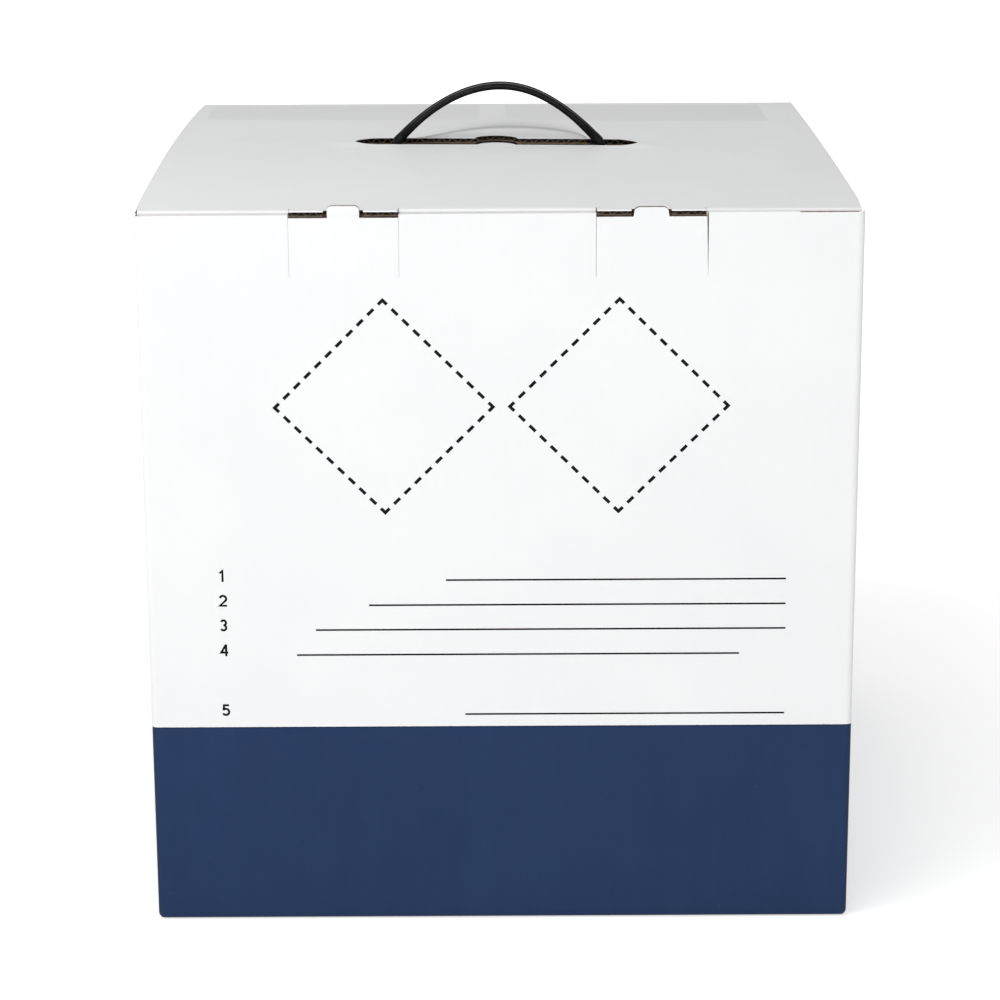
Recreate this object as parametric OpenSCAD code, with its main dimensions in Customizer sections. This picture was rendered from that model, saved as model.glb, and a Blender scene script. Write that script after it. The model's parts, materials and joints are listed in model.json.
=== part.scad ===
// Specimen transport box: a corrugated carton with a tuck-in lid, lock tabs and a strap
// handle, round a moulded foam box that holds a screw-top jar of sample tubes.
// Origin: centre of the carton's underside. +Z up, the front wall faces -Y.

/* [Carton] */
// Outside width of the carton
box_w = 456; // [440:1:500]
// Outside depth of the carton
box_d = 478; // [460:1:520]
// Height of the carton at the lid's front fold
box_h = 474; // [450:1:520]
// Thickness of the corrugated board
board_t = 4; // [3.5:0.1:5]
// Width of the glued seam flap
glue_flap_w = 34; // [25:1:45]
// Thickness of the glued seam flap, which is crushed in the press
glue_flap_t = 1.8; // [1:0.1:2]

/* [Lid] */
// How far the lid bows up between its front fold and its hinge
lid_bow = 5; // [3:0.5:7]
// How far the lid's cut side edges stop short of the side walls' outer faces
lid_side_inset = 1.5; // [0.5:0.1:3]
// How far the front wall's top edge stops below the lid's front fold
front_wall_drop = 2.5; // [1:0.1:3.5]
// Gap between the front wall and the lid's fold behind it
fold_gap = 2; // [1.8:0.1:3]
// Depth of the flap that tucks behind the front wall
tuck_depth = 38; // [30:1:45]
// How far the tuck flap leans into the carton, in degrees
tuck_lean = 3; // [2:0.5:4]
// Gap between the tuck flap's ends and the side walls
tuck_end_gap = 4; // [2:0.5:8]
// Radius of the tuck flap's lower corners
tuck_corner_r = 18; // [8:1:25]

/* [Lock tabs] */
// Width of each tab cut in the front wall
tab_w = 69; // [60:1:80]
// Height of each tab, from its crease to the front wall's top edge
tab_h = 37; // [30:1:45]
// Distance between the middles of the two tabs
tab_span = 192; // [170:1:220]
// How far the tabs and the lid's slot are cut off the carton's middle, towards +X
cut_shift = -1.5; // [-3:0.1:3]
// Width of the tongue on top of a tab
tongue_w = 20; // [16:1:26]
// How far the tongue stands above the lid
tongue_rise = 3; // [2:0.5:5]
// Radius of the tongue's corners
tongue_r = 3; // [1:0.5:6]
// Gap between the tongue and the lid's teeth, on each side
tongue_gap = 2.5; // [1.5:0.1:4]
// Gap along the tab's cut sides
cut_gap = 0.5; // [0.4:0.1:1]

/* [Dust flaps] */
// Depth of the dust flaps, which fold in from the side walls
dust_depth = 58; // [45:1:60]
// Distance from the carton's front face to a dust flap
dust_front = 17; // [16:1:25]
// Distance from the carton's rear face to a dust flap at its crease
dust_rear = 13; // [12:1:20]
// Slope of the dust flap's rear edge, as run back for each millimetre of depth
dust_rear_slope = 0.58; // [0.55:0.01:0.75]
// Slope of its front edge
dust_front_slope = 0.12; // [0.05:0.01:0.3]

/* [Bottom] */
// Depth of the tongue that locks the bottom flaps together
bottom_lock_depth = 42; // [30:1:60]
// Width of that tongue at its root
bottom_lock_w = 190; // [140:1:230]
// Depth of the bottom side flaps
bottom_side_depth = 130; // [90:1:160]

/* [Handle] */
// Length of the slot in the lid
slot_len = 197; // [190:1:210]
// Width of the slot
slot_w = 15; // [15:0.5:18]
// Distance from the carton's front face to the middle of the slot
slot_from_front = 245; // [235:1:255]
// Width of the round bay in the middle of the slot's rear edge
bay_w = 31; // [26:1:40]
// Depth of that bay
bay_depth = 11.5; // [8:0.5:13]
// Height of the handle's crown above the lid
handle_rise = 42; // [35:1:60]
// Distance between the handle's two crossbars, along the slot
handle_span = 154; // [140:1:160]
// Width of the handle strap
strap_w = 14; // [12:0.5:16]
// Thickness of the strap between its rims
strap_t = 3.2; // [2:0.1:4]
// Thickness of the strap's two rims
rim_t = 4.4; // [3:0.1:5]
// Width of each rim
rim_w = 2.2; // [1.5:0.1:3]
// How much thicker the strap is at its crossbars, as a share of its thickness
foot_flare = 0.5; // [0:0.05:0.8]
// Height over which that thickening fades
foot_flare_h = 17; // [10:1:25]
// Width of the strap's neck where it passes the slot
neck_w = 8; // [6:0.5:9]
// Height of the neck above the crossbars
neck_h = 14; // [13:0.5:18]
// Height over which the neck widens to the strap
neck_blend_h = 6; // [3:0.5:10]
// Length of the crossbars under the lid
crossbar_len = 22; // [20:1:24]
// Width of the crossbars, along the slot
crossbar_w = 9; // [7:1:12]
// Thickness of the crossbars
crossbar_t = 2.6; // [2:0.1:3]
// Depth of the crossbars' middle below the lid's underside
crossbar_drop = 5.5; // [5.4:0.1:6]

/* [Foam box] */
// Width of the foam box's cavity
cavity_w = 305; // [290:1:315]
// Depth of the cavity, front to back
cavity_d = 320; // [300:1:330]
// Radius of the cavity's upright corners
cavity_r = 22; // [12:1:30]
// Thickness of the foam floor
foam_floor_t = 72; // [60:1:80]
// Thickness of the foam lid's flange, which sits in a rebate of the box
flange_t = 45; // [38:1:50]
// Width of the ledge that the flange rests on
ledge_w = 12; // [10:1:12]
// Thickness of the foam lid's plug below the flange
plug_t = 25; // [15:1:28]
// Draft of the flange and its rebate, in degrees
flange_draft = 4; // [3.5:0.5:6]
// Draft of the plug, in degrees
plug_draft = 9; // [9:0.5:12]
// Gap all round the flange
flange_gap = 1.2; // [1.1:0.1:2]
// Gap between the plug and the cavity walls
plug_gap = 2.5; // [2.5:0.1:4]
// Gap between the foam box and the carton's side and rear walls
foam_gap = 2.2; // [2.1:0.1:4]
// Gap between the tuck flap and the foam box
foam_tuck_gap = 1.6; // [1.2:0.1:4]
// Gap between the foam box and the dust flaps
foam_top_gap = 1.5; // [1:0.1:3]
// Radius of the foam box's outer upright corners
foam_r = 10; // [6:1:20]
// Radius of the finger recesses beside the foam lid
finger_r = 24; // [18:1:30]
// Depth of the finger recesses
finger_depth = 32; // [20:1:38]

/* [Jar] */
// Outside diameter of the jar
jar_d = 124; // [110:1:135]
// Height of the jar's body below its shoulder
jar_body_h = 165; // [150:1:180]
// Height of the jar's shoulder
shoulder_h = 10; // [6:1:14]
// Wall thickness of the jar
jar_wall = 2.5; // [2:0.1:3]
// Outside diameter of the jar's neck
neck_d = 104; // [98:1:106]
// Height of the jar's neck
jar_neck_h = 24; // [18:1:30]
// Outside diameter of the jar's lid
jar_lid_d = 118; // [114:1:122]
// Wall thickness of the jar's lid
jar_lid_wall = 3; // [2:0.1:4]
// Number of grip ribs round the jar's lid
grip_ribs = 40; // [24:2:60]
// Thickness of the seal ring
seal_t = 2; // [1:0.1:3]
// Gap between the jar's neck and its lid
thread_gap = 1.2; // [0.8:0.1:2]

/* [Contents] */
// Outside diameter of a sample tube
tube_d = 16; // [13:1:18]
// Length of a sample tube
tube_len = 100; // [90:1:120]
// Wall thickness of a sample tube
tube_wall = 1.2; // [0.8:0.1:1.6]
// Distance from the rack's middle tube to each outer tube
tube_pitch = 33; // [30:1:36]
// Number of tubes round the middle one
outer_tubes = 6; // [4:1:6]
// Gap between a tube and its hole in the rack
tube_gap = 0.4; // [0.3:0.1:0.8]
// Diameter of a tube cap
cap_d = 18.5; // [15:0.5:21]
// Height of a tube cap
cap_h = 14; // [10:1:18]
// Height of the foam rack that the tubes stand in
rack_h = 62; // [50:1:75]
// Thickness of the rack below its holes
rack_floor_t = 4; // [3:0.5:8]
// Thickness of the absorbent sleeve in the jar
absorbent_t = 3; // [2:0.5:4]
// Thickness of the pad under the jar
base_pad_t = 12; // [8:1:20]
// Height of the bridge that steadies the jar, above the cavity floor
bridge_h = 124; // [100:1:145]
// Gap between the jar and the board round it
jar_gap = 1; // [0.5:0.1:2]
// Gap between the board inserts and the cavity walls
insert_gap = 1; // [0.5:0.1:2]
// Width of the document pouch
pouch_w = 230; // [200:1:240]
// Depth of the document pouch
pouch_d = 120; // [100:1:125]
// Thickness of the document pouch with its papers
pouch_t = 1.6; // [1:0.1:2]

/* [Hidden] */
$fn = 64;
e = 0.01;       // overlap that makes a cut run clean through a face
crease_gap = 0.3;  // free gap beside a crease's round bead
board_gap = 0.5;   // gap between boards that lie on each other

white = "white";
kraft = "burlywood";
navy = "midnightblue";

// Carton levels and faces
half_w = box_w / 2;
half_d = box_d / 2;
front_in = -half_d + board_t;
rear_in = half_d - board_t;
side_in = half_w - board_t;
front_top = box_h - front_wall_drop;

// Lid hinge, front fold and arch
bead_r = board_t / 2;
hinge_y = half_d - bead_r;
hinge_z = box_h - bead_r;
fold_y = front_in + fold_gap;
fold_axis_y = fold_y + bead_r;
lid_chord = hinge_y - fold_y;
arch_r = (lid_chord * lid_chord / 4 + lid_bow * lid_bow) / (2 * lid_bow);
arch_y = (hinge_y + fold_y) / 2;
arch_z = box_h + lid_bow - arch_r;
lid_w = box_w - 2 * lid_side_inset;
tooth_inset = 0.5;
function lid_under(y) = arch_z + sqrt(pow(arch_r - board_t, 2) - pow(y - arch_y, 2));
function lid_top(y) = arch_z + sqrt(pow(arch_r, 2) - pow(y - arch_y, 2));

// Lock tabs
tab_xs = [cut_shift - tab_span / 2, cut_shift + tab_span / 2];
tab_axis_y = -half_d + bead_r;
tab_axis_z = front_top - tab_h;
shoulder_z = box_h - board_t - board_gap;
notch_w = tongue_w + 2 * tongue_gap;
tuck_notch_depth = 9;

// Dust flaps
dust_axis_x = half_w - bead_r;
dust_top = box_h - board_t - board_gap;
dust_axis_z = dust_top - bead_r;
side_top = dust_axis_z - bead_r - crease_gap;
dust_corner_r = 8;

// Bottom
lock_taper = 16;
lock_gap = 1;

// Foam box, from the carton's floor to the dust flaps
foam_z = 2 * board_t;
foam_top = dust_top - board_t - foam_top_gap;
tuck_reach = fold_axis_y + bead_r * cos(tuck_lean) + tuck_depth * sin(tuck_lean);
foam_front = tuck_reach + foam_tuck_gap;
foam_rear = rear_in - foam_gap;
foam_y = (foam_front + foam_rear) / 2;
foam_w = 2 * (side_in - foam_gap);
foam_d = foam_rear - foam_front;
floor_z = foam_z + foam_floor_t;
rebate_w = cavity_w + 2 * ledge_w;
rebate_d = cavity_d + 2 * ledge_w;
rebate_r = cavity_r + ledge_w;

// Handle
slot_y = -half_d + slot_from_front;
nose_gap = 1.5;      // how much rounder the bay is than the nose in front of it
crossbar_z = lid_under(slot_y) - crossbar_drop;
crown_z = lid_top(slot_y) + handle_rise - rim_t / 2;
strap_steps = 40;

// Jar and contents
jar_r = jar_d / 2;
neck_r = neck_d / 2;
shoulder_top = floor_z + jar_body_h + shoulder_h;
mouth_z = shoulder_top + jar_neck_h;
jar_lid_r = jar_lid_d / 2;
skirt_gap = 3;       // free height between the jar's shoulder and its lid's skirt
lid_skirt_z = shoulder_top + skirt_gap;
lid_roof_z = mouth_z + seal_t;
jar_foot_r = 4;
rib_r = 1.1;
rib_foot = 1;        // how far the grip ribs stop short of the skirt's lower edge
rib_head = 3;        // how far they stop short of the lid's upper edge
rack_z = floor_z + jar_wall;
tube_z = rack_z + rack_floor_t + tube_d / 2;
absorbent_h = 140;
bridge_z = floor_z + bridge_h;
insert_w = cavity_w - 2 * insert_gap;
insert_d = cavity_d - 2 * insert_gap;

// ---------- shared shapes ----------

// A rectangle with round corners, centred
module round_rect(w, d, r) {
    square([w - 2 * r, d], center = true);
    square([w, d - 2 * r], center = true);
    for (sx = [-1, 1], sy = [-1, 1])
        translate([sx * (w / 2 - r), sy * (d / 2 - r)])
            circle(r);
}

// A block with round upright corners, its foot at z = 0
module round_block(w, d, h, r) {
    linear_extrude(h)
        round_rect(w, d, r);
}

// A block that narrows downwards by its draft, its top at z = 0: two wedges and four cones
module drafted_block(w, d, h, r, draft) {
    inset = h * tan(draft);
    along_y(d - 2 * r)
        draft_profile(w, h, inset);
    along_x(w - 2 * r)
        draft_profile(d, h, inset);
    for (sx = [-1, 1], sy = [-1, 1])
        translate([sx * (w / 2 - r), sy * (d / 2 - r), -h])
            cylinder(r1 = r - inset, r2 = r, h = h);
}

// Upright section of a drafted block
module draft_profile(w, h, inset) {
    polygon([[-w / 2, 0],
             [-w / 2 + inset, -h],
             [w / 2 - inset, -h],
             [w / 2, 0]]);
}

// A profile drawn in Y and Z, drawn out along X over a width, centred
module along_x(w) {
    translate([-w / 2, 0, 0])
        rotate([90, 0, 90])
            linear_extrude(w)
                children();
}

// A profile drawn in X and Z, drawn out along Y over a depth, centred
module along_y(d) {
    translate([0, d / 2, 0])
        rotate([90, 0, 0])
            linear_extrude(d)
                children();
}

// The two places of the lock tabs
module at_tabs() {
    for (x = tab_xs)
        translate([x, 0, 0])
            children();
}

// ---------- carton ----------

// A front or rear wall: round upright corners and a round bottom edge
module end_wall(top) {
    intersection() {
        linear_extrude(top)
            union() {
                translate([-half_w + board_t, -half_d])
                    square([box_w - 2 * board_t, board_t]);
                for (side = [-1, 1])
                    intersection() {
                        translate([side * side_in, front_in])
                            circle(board_t);
                        translate([side > 0 ? side_in : -half_w, -half_d])
                            square(board_t);
                    }
            }
        along_x(box_w)
            union() {
                translate([-half_d, board_t])
                    square([board_t, top - board_t]);
                intersection() {
                    translate([front_in, board_t])
                        circle(board_t);
                    translate([-half_d, 0])
                        square(board_t);
                }
            }
    }
}

// A side wall between the end walls, its round bottom edge on the end flaps' level
module side_wall() {
    along_y(box_d - 2 * board_t)
        union() {
            translate([side_in, 2 * board_t])
                square([board_t, side_top - 2 * board_t]);
            intersection() {
                translate([side_in, 2 * board_t])
                    circle(board_t);
                translate([side_in, board_t])
                    square(board_t);
            }
        }
}

module front_wall() {
    color(white)
        difference() {
            end_wall(front_top);
            at_tabs()
                translate([-tab_w / 2, -half_d - e, tab_axis_z - bead_r - crease_gap])
                    cube([tab_w, board_t + 2 * e, box_h]);
        }
}

module rear_wall() {
    color(white)
        rotate(180)
            end_wall(hinge_z - bead_r - crease_gap);
}

module left_wall() {
    color(white)
        mirror([1, 0, 0])
            side_wall();
}

module right_wall() {
    color(white)
        side_wall();
}

// The seam: a crushed flap of the left wall, glued inside the rear wall
module glue_flap() {
    seam_z = 3 * board_t;
    seam_bevel = 15;
    color(kraft)
        translate([-side_in, rear_in, seam_z])
            rotate([90, 0, 0])
                linear_extrude(glue_flap_t)
                    polygon([[0, 0],
                             [glue_flap_w, seam_bevel],
                             [glue_flap_w, side_top - seam_z - seam_bevel],
                             [0, side_top - seam_z]]);
}

// Outline of the tongue that joins the two outer bottom flaps, pointing to +Y
module bottom_tongue(grow) {
    w = bottom_lock_w / 2 + grow;
    polygon([[-w, -e],
             [w, -e],
             [w - lock_taper, bottom_lock_depth + grow],
             [-w + lock_taper, bottom_lock_depth + grow]]);
}

module bottom_front_flap() {
    color(navy)
        linear_extrude(board_t)
            union() {
                translate([-half_w + lid_side_inset, front_in])
                    square([lid_w, -front_in - lock_gap / 2]);
                translate([0, -lock_gap / 2])
                    bottom_tongue(0);
            }
}

module bottom_rear_flap() {
    color(navy)
        linear_extrude(board_t)
            difference() {
                translate([-half_w + lid_side_inset, lock_gap / 2])
                    square([lid_w, rear_in - lock_gap / 2]);
                translate([0, -lock_gap / 2])
                    bottom_tongue(lock_gap);
            }
}

// An inner bottom flap, hinged on a side wall and cut back at both ends
module bottom_side_flap() {
    flap_taper = 40;
    long_half = rear_in - 2 * board_t;
    color(kraft)
        translate([0, 0, board_t])
            linear_extrude(board_t)
                polygon([[side_in, -long_half],
                         [side_in, long_half],
                         [side_in - bottom_side_depth, long_half - flap_taper],
                         [side_in - bottom_side_depth, -long_half + flap_taper]]);
}

module bottom_left_flap() {
    mirror([1, 0, 0])
        bottom_side_flap();
}

module bottom_right_flap() {
    bottom_side_flap();
}

// ---------- lid ----------

// Section of the lid: an arched board between the front fold's bead and the hinge bead
module lid_section() {
    intersection() {
        translate([arch_y, arch_z])
            difference() {
                circle(arch_r, $fn = 720);
                circle(arch_r - board_t, $fn = 720);
            }
        translate([fold_axis_y, box_h - 2 * board_t])
            square([hinge_y - fold_axis_y, 3 * board_t + lid_bow]);
    }
    translate([fold_axis_y, hinge_z])
        circle(bead_r);
    translate([hinge_y, hinge_z])
        circle(bead_r);
}

// Outline of the handle slot: round ends, a bay in its rear edge and a nose in its front edge
module slot_outline() {
    bay_r = bay_w / 2;
    nose_r = bay_r - nose_gap;
    bay_y = slot_w / 2 + bay_depth - bay_r;
    difference() {
        union() {
            square([slot_len - slot_w, slot_w], center = true);
            for (side = [-1, 1])
                translate([side * (slot_len - slot_w) / 2, 0])
                    circle(d = slot_w);
            translate([0, bay_y])
                circle(bay_r);
        }
        translate([0, bay_y - slot_w])
            circle(nose_r);
    }
}

// The two teeth that run out over one tab's shoulders, with the tongue's notch between
module lid_teeth() {
    tooth_half = tab_w / 2 - cut_gap;
    translate([0, 0, box_h - board_t])
        linear_extrude(board_t)
            difference() {
                translate([-tooth_half, -half_d + tooth_inset])
                    square([2 * tooth_half, fold_axis_y + half_d - tooth_inset]);
                translate([-notch_w / 2, -half_d])
                    square([notch_w, fold_y + half_d]);
            }
}

module lid_panel() {
    color(white)
        difference() {
            union() {
                along_x(lid_w)
                    lid_section();
                at_tabs()
                    lid_teeth();
            }
            translate([cut_shift, slot_y, box_h - board_t])
                linear_extrude(2 * board_t + lid_bow)
                    slot_outline();
        }
}

// The tuck flap hangs from the front fold, with a notch behind each tab's teeth
module tuck_flap() {
    flap_w = 2 * (side_in - tuck_end_gap);
    color(white)
        translate([0, fold_axis_y, hinge_z])
            rotate([tuck_lean, 0, 0])
                translate([0, bead_r, 0])
                    rotate([90, 0, 0])
                        linear_extrude(board_t)
                            difference() {
                                translate([0, -tuck_depth])
                                    tuck_outline(flap_w);
                                at_tabs()
                                    translate([-tab_w / 2, -tuck_notch_depth])
                                        square([tab_w, tuck_notch_depth]);
                            }
}

// Outline of the tuck flap: a straight top edge at the fold and round lower corners
module tuck_outline(w) {
    top = tuck_depth - bead_r - crease_gap;
    translate([-w / 2, tuck_corner_r])
        square([w, top - tuck_corner_r]);
    translate([-w / 2 + tuck_corner_r, 0])
        square([w - 2 * tuck_corner_r, tuck_corner_r + e]);
    for (side = [-1, 1])
        translate([side * (w / 2 - tuck_corner_r), tuck_corner_r])
            circle(tuck_corner_r);
}

// A dust flap on the right side wall, with its crease bead
module dust_flap() {
    front_y = -half_d + dust_front;
    rear_y = half_d - dust_rear;
    tip_x = dust_axis_x - dust_depth;
    rear_run = dust_depth * dust_rear_slope;
    front_run = dust_depth * dust_front_slope;
    color(white) {
        translate([0, 0, dust_axis_z - bead_r])
            linear_extrude(board_t)
                difference() {
                    polygon([[dust_axis_x, front_y],
                             [dust_axis_x, rear_y],
                             [tip_x, rear_y - rear_run],
                             [tip_x, front_y + front_run]]);
                    translate([tip_x, front_y + front_run])
                        corner_cut(dust_corner_r);
                }
        translate([dust_axis_x, front_y, dust_axis_z])
            rotate([-90, 0, 0])
                cylinder(r = bead_r, h = rear_y - front_y);
    }
}

// Takes a square corner off and leaves it round; the corner is at the origin
module corner_cut(r) {
    difference() {
        translate([-r, -r])
            square([2 * r, 2 * r]);
        translate([r, r])
            circle(r);
        translate([r, -r])
            square([r, 2 * r]);
        translate([-r, r])
            square([2 * r, r]);
    }
}

module dust_flap_left() {
    mirror([1, 0, 0])
        dust_flap();
}

module dust_flap_right() {
    dust_flap();
}

// A tab of the front wall: crease bead, two shoulders and a tongue with round corners
module lock_tab(x) {
    body_w = tab_w - 2 * cut_gap;
    tongue_top = box_h + tongue_rise;
    color(white) {
        translate([x, -half_d, 0])
            translate([0, board_t, 0])
                rotate([90, 0, 0])
                    linear_extrude(board_t) {
                        translate([-body_w / 2, tab_axis_z])
                            square([body_w, shoulder_z - tab_axis_z]);
                        translate([-tongue_w / 2, shoulder_z - e])
                            square([tongue_w, tongue_top - tongue_r - shoulder_z]);
                        translate([-tongue_w / 2 + tongue_r, shoulder_z - e])
                            square([tongue_w - 2 * tongue_r, tongue_top - shoulder_z + e]);
                        for (side = [-1, 1])
                            translate([side * (tongue_w / 2 - tongue_r), tongue_top - tongue_r])
                                circle(tongue_r);
                    }
        translate([x - body_w / 2, tab_axis_y, tab_axis_z])
            rotate([0, 90, 0])
                cylinder(r = bead_r, h = body_w);
    }
}

module lock_tab_left() {
    lock_tab(tab_xs[0]);
}

module lock_tab_right() {
    lock_tab(tab_xs[1]);
}

// ---------- handle ----------

// Height of the strap's middle line, a parabola from crossbar to crown to crossbar
function strap_z(x) = crown_z - (crown_z - crossbar_z) * pow(2 * x / handle_span, 2);
function strap_slope(x) = -8 * (crown_z - crossbar_z) * x / (handle_span * handle_span);
function strap_x(i) = handle_span * (i / strap_steps - 0.5);
// How much thicker the strap is than at its crown
function strap_flare(x) = 1 + foot_flare * exp(-pow((strap_z(x) - crossbar_z) / foot_flare_h, 2));
// A point beside the middle line, off to its outer side by a distance at the crown
function strap_point(x, off) =
    let (s = strap_slope(x), n = sqrt(1 + s * s), o = off * strap_flare(x))
    [x - s / n * o, strap_z(x) + o / n];

// Side view of the strap at one thickness
module strap_profile(t) {
    polygon(concat([for (i = [0 : strap_steps]) strap_point(strap_x(i), t / 2)],
                   [for (i = [strap_steps : -1 : 0]) strap_point(strap_x(i), -t / 2)]));
}

// End view of the strap: its neck in the slot, widening above the lid
module strap_width_outline() {
    top = crown_z - crossbar_z + 2 * rim_t;
    polygon([[-neck_w / 2, -rim_t],
             [neck_w / 2, -rim_t],
             [neck_w / 2, neck_h],
             [strap_w / 2, neck_h + neck_blend_h],
             [strap_w / 2, top],
             [-strap_w / 2, top],
             [-strap_w / 2, neck_h + neck_blend_h],
             [-neck_w / 2, neck_h]]);
}

// A crossbar under the lid, round at both ends
module crossbar() {
    straight = crossbar_len - crossbar_t;
    translate([-crossbar_w / 2, -straight / 2, -crossbar_t / 2])
        cube([crossbar_w, straight, crossbar_t]);
    for (side = [-1, 1])
        translate([-crossbar_w / 2, side * straight / 2, 0])
            rotate([0, 90, 0])
                cylinder(d = crossbar_t, h = crossbar_w);
}

module carry_handle() {
    color("black")
        translate([0, slot_y, 0]) {
            intersection() {
                union() {
                    along_y(strap_w)
                        strap_profile(strap_t);
                    for (side = [-1, 1])
                        translate([0, side * (strap_w - rim_w) / 2, 0])
                            along_y(rim_w)
                                strap_profile(rim_t);
                }
                translate([0, 0, crossbar_z])
                    along_x(2 * handle_span)
                        strap_width_outline();
            }
            for (side = [-1, 1])
                translate([side * handle_span / 2, 0, crossbar_z])
                    crossbar();
        }
}

// ---------- foam box ----------

module foam_box() {
    color("whitesmoke")
        translate([0, foam_y, 0])
            difference() {
                translate([0, 0, foam_z])
                    round_block(foam_w, foam_d, foam_top - foam_z, foam_r);
                translate([0, 0, floor_z])
                    round_block(cavity_w, cavity_d, foam_top, cavity_r);
                translate([0, 0, foam_top])
                    drafted_block(rebate_w, rebate_d, flange_t, rebate_r, flange_draft);
                translate([0, 0, foam_top - e])
                    round_block(rebate_w, rebate_d, 1, rebate_r);
                for (side = [-1, 1])
                    translate([side * rebate_w / 2, 0, foam_top - finger_depth])
                        cylinder(r = finger_r, h = finger_depth + 1);
            }
}

module foam_lid() {
    flange_w = rebate_w - 2 * flange_gap;
    flange_d = rebate_d - 2 * flange_gap;
    color("whitesmoke")
        translate([0, foam_y, foam_top]) {
            drafted_block(flange_w, flange_d, flange_t, rebate_r, flange_draft);
            translate([0, 0, -flange_t + e])
                drafted_block(cavity_w - 2 * plug_gap, cavity_d - 2 * plug_gap,
                              plug_t + e, cavity_r, plug_draft);
        }
}

// The papers for the journey lie on the foam lid, in front of the handle's crossbars
module document_pouch() {
    pouch_r = 5;
    pouch_y = slot_y - crossbar_len - pouch_d / 2;
    color("lightblue")
        translate([0, pouch_y, foam_top])
            round_block(pouch_w, pouch_d, pouch_t, pouch_r);
}

// ---------- jar and board inserts ----------

// The pad that centres the jar's foot
module base_pad() {
    color(kraft)
        translate([0, foam_y, floor_z])
            linear_extrude(base_pad_t)
                difference() {
                    round_rect(insert_w, insert_d, cavity_r);
                    circle(jar_r + jar_gap);
                }
}

// A board folded into a bridge: a plate with a hole for the jar, on two legs
module jar_bridge() {
    fold_r = board_t;
    leg_d = insert_d - 2 * cavity_r;
    plate_z = bridge_z - board_t;
    color(kraft)
        translate([0, foam_y, 0])
            difference() {
                union() {
                    translate([0, 0, plate_z])
                        linear_extrude(board_t)
                            square([insert_w - 2 * fold_r, leg_d], center = true);
                    for (side = [-1, 1]) {
                        translate([side * (insert_w / 2 - board_t / 2), 0, floor_z + base_pad_t])
                            linear_extrude(plate_z - floor_z - base_pad_t)
                                square([board_t, leg_d], center = true);
                        intersection() {
                            translate([side * (insert_w / 2 - fold_r), 0, plate_z])
                                rotate([90, 0, 0])
                                    cylinder(r = fold_r, h = leg_d, center = true);
                            translate([side * (insert_w / 2 - fold_r / 2), 0, plate_z + fold_r / 2])
                                cube([fold_r, leg_d, fold_r], center = true);
                        }
                    }
                }
                translate([0, 0, plate_z - e])
                    cylinder(r = jar_r + jar_gap, h = 2 * board_t);
            }
}

// Half section of the jar, from its axis out
module jar_section() {
    inner = jar_r - jar_wall;
    difference() {
        union() {
            translate([0, jar_foot_r])
                square([jar_r, jar_body_h - jar_foot_r]);
            square([jar_r - jar_foot_r, jar_foot_r + e]);
            translate([jar_r - jar_foot_r, jar_foot_r])
                circle(jar_foot_r);
            polygon([[0, jar_body_h - e],
                     [jar_r, jar_body_h - e],
                     [neck_r + 1, jar_body_h + shoulder_h],
                     [0, jar_body_h + shoulder_h]]);
            square([neck_r, jar_body_h + shoulder_h + jar_neck_h]);
        }
        translate([-jar_r, -jar_r])
            square([jar_r, 4 * jar_r]);
        translate([0, jar_wall])
            square([inner, jar_body_h - 2 * jar_wall]);
        polygon([[0, jar_body_h - jar_wall - e],
                 [inner, jar_body_h - jar_wall - e],
                 [neck_r - jar_wall, jar_body_h + shoulder_h - jar_wall],
                 [0, jar_body_h + shoulder_h - jar_wall]]);
        translate([0, jar_body_h])
            square([neck_r - jar_wall, shoulder_h + jar_neck_h + e]);
    }
}

module specimen_jar() {
    color("white")
        translate([0, foam_y, floor_z])
            rotate_extrude($fn = 96)
                jar_section();
}

module jar_seal() {
    color("firebrick")
        translate([0, foam_y, mouth_z])
            difference() {
                cylinder(r = neck_r, h = seal_t);
                translate([0, 0, -e])
                    cylinder(r = neck_r - 2 * jar_wall, h = seal_t + 2 * e);
            }
}

module jar_lid() {
    roof_top = lid_roof_z + jar_lid_wall;
    color("red")
        translate([0, foam_y, 0]) {
            difference() {
                translate([0, 0, lid_skirt_z])
                    cylinder(r = jar_lid_r - rib_r, h = roof_top - lid_skirt_z);
                translate([0, 0, lid_skirt_z - e])
                    cylinder(r = neck_r + thread_gap, h = lid_roof_z - lid_skirt_z + e);
            }
            for (i = [0 : grip_ribs - 1])
                rotate(i * 360 / grip_ribs)
                    translate([jar_lid_r - rib_r, 0, lid_skirt_z + rib_foot])
                        cylinder(r = rib_r, h = roof_top - rib_head - lid_skirt_z - rib_foot,
                                 $fn = 16);
        }
}

module absorbent_sleeve() {
    sleeve_gap = 0.5;
    outer = jar_r - jar_wall - sleeve_gap;
    color("ghostwhite")
        translate([0, foam_y, floor_z + jar_wall])
            difference() {
                cylinder(r = outer, h = absorbent_h);
                translate([0, 0, -e])
                    cylinder(r = outer - absorbent_t, h = absorbent_h + 2 * e);
            }
}

// The places of the tubes: one in the middle and a ring round it
module at_tubes() {
    translate([0, foam_y, 0])
        children();
    for (i = [0 : outer_tubes - 1])
        translate([0, foam_y, 0])
            rotate(i * 360 / outer_tubes)
                translate([tube_pitch, 0, 0])
                    children();
}

module tube_rack() {
    color("lightgrey")
        difference() {
            translate([0, foam_y, rack_z])
                cylinder(r = jar_r - jar_wall - absorbent_t - 1, h = rack_h);
            at_tubes()
                translate([0, 0, rack_z + rack_floor_t])
                    cylinder(r = tube_d / 2 + tube_gap, h = rack_h);
        }
}

// Half section of a tube: a straight wall on a round end
module tube_section() {
    outer = tube_d / 2;
    difference() {
        union() {
            circle(outer);
            square([outer, tube_len - outer]);
        }
        circle(outer - tube_wall);
        square([outer - tube_wall, tube_len]);
        translate([-2 * outer, -outer - 1])
            square([2 * outer, tube_len + 2 * outer]);
    }
}

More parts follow.
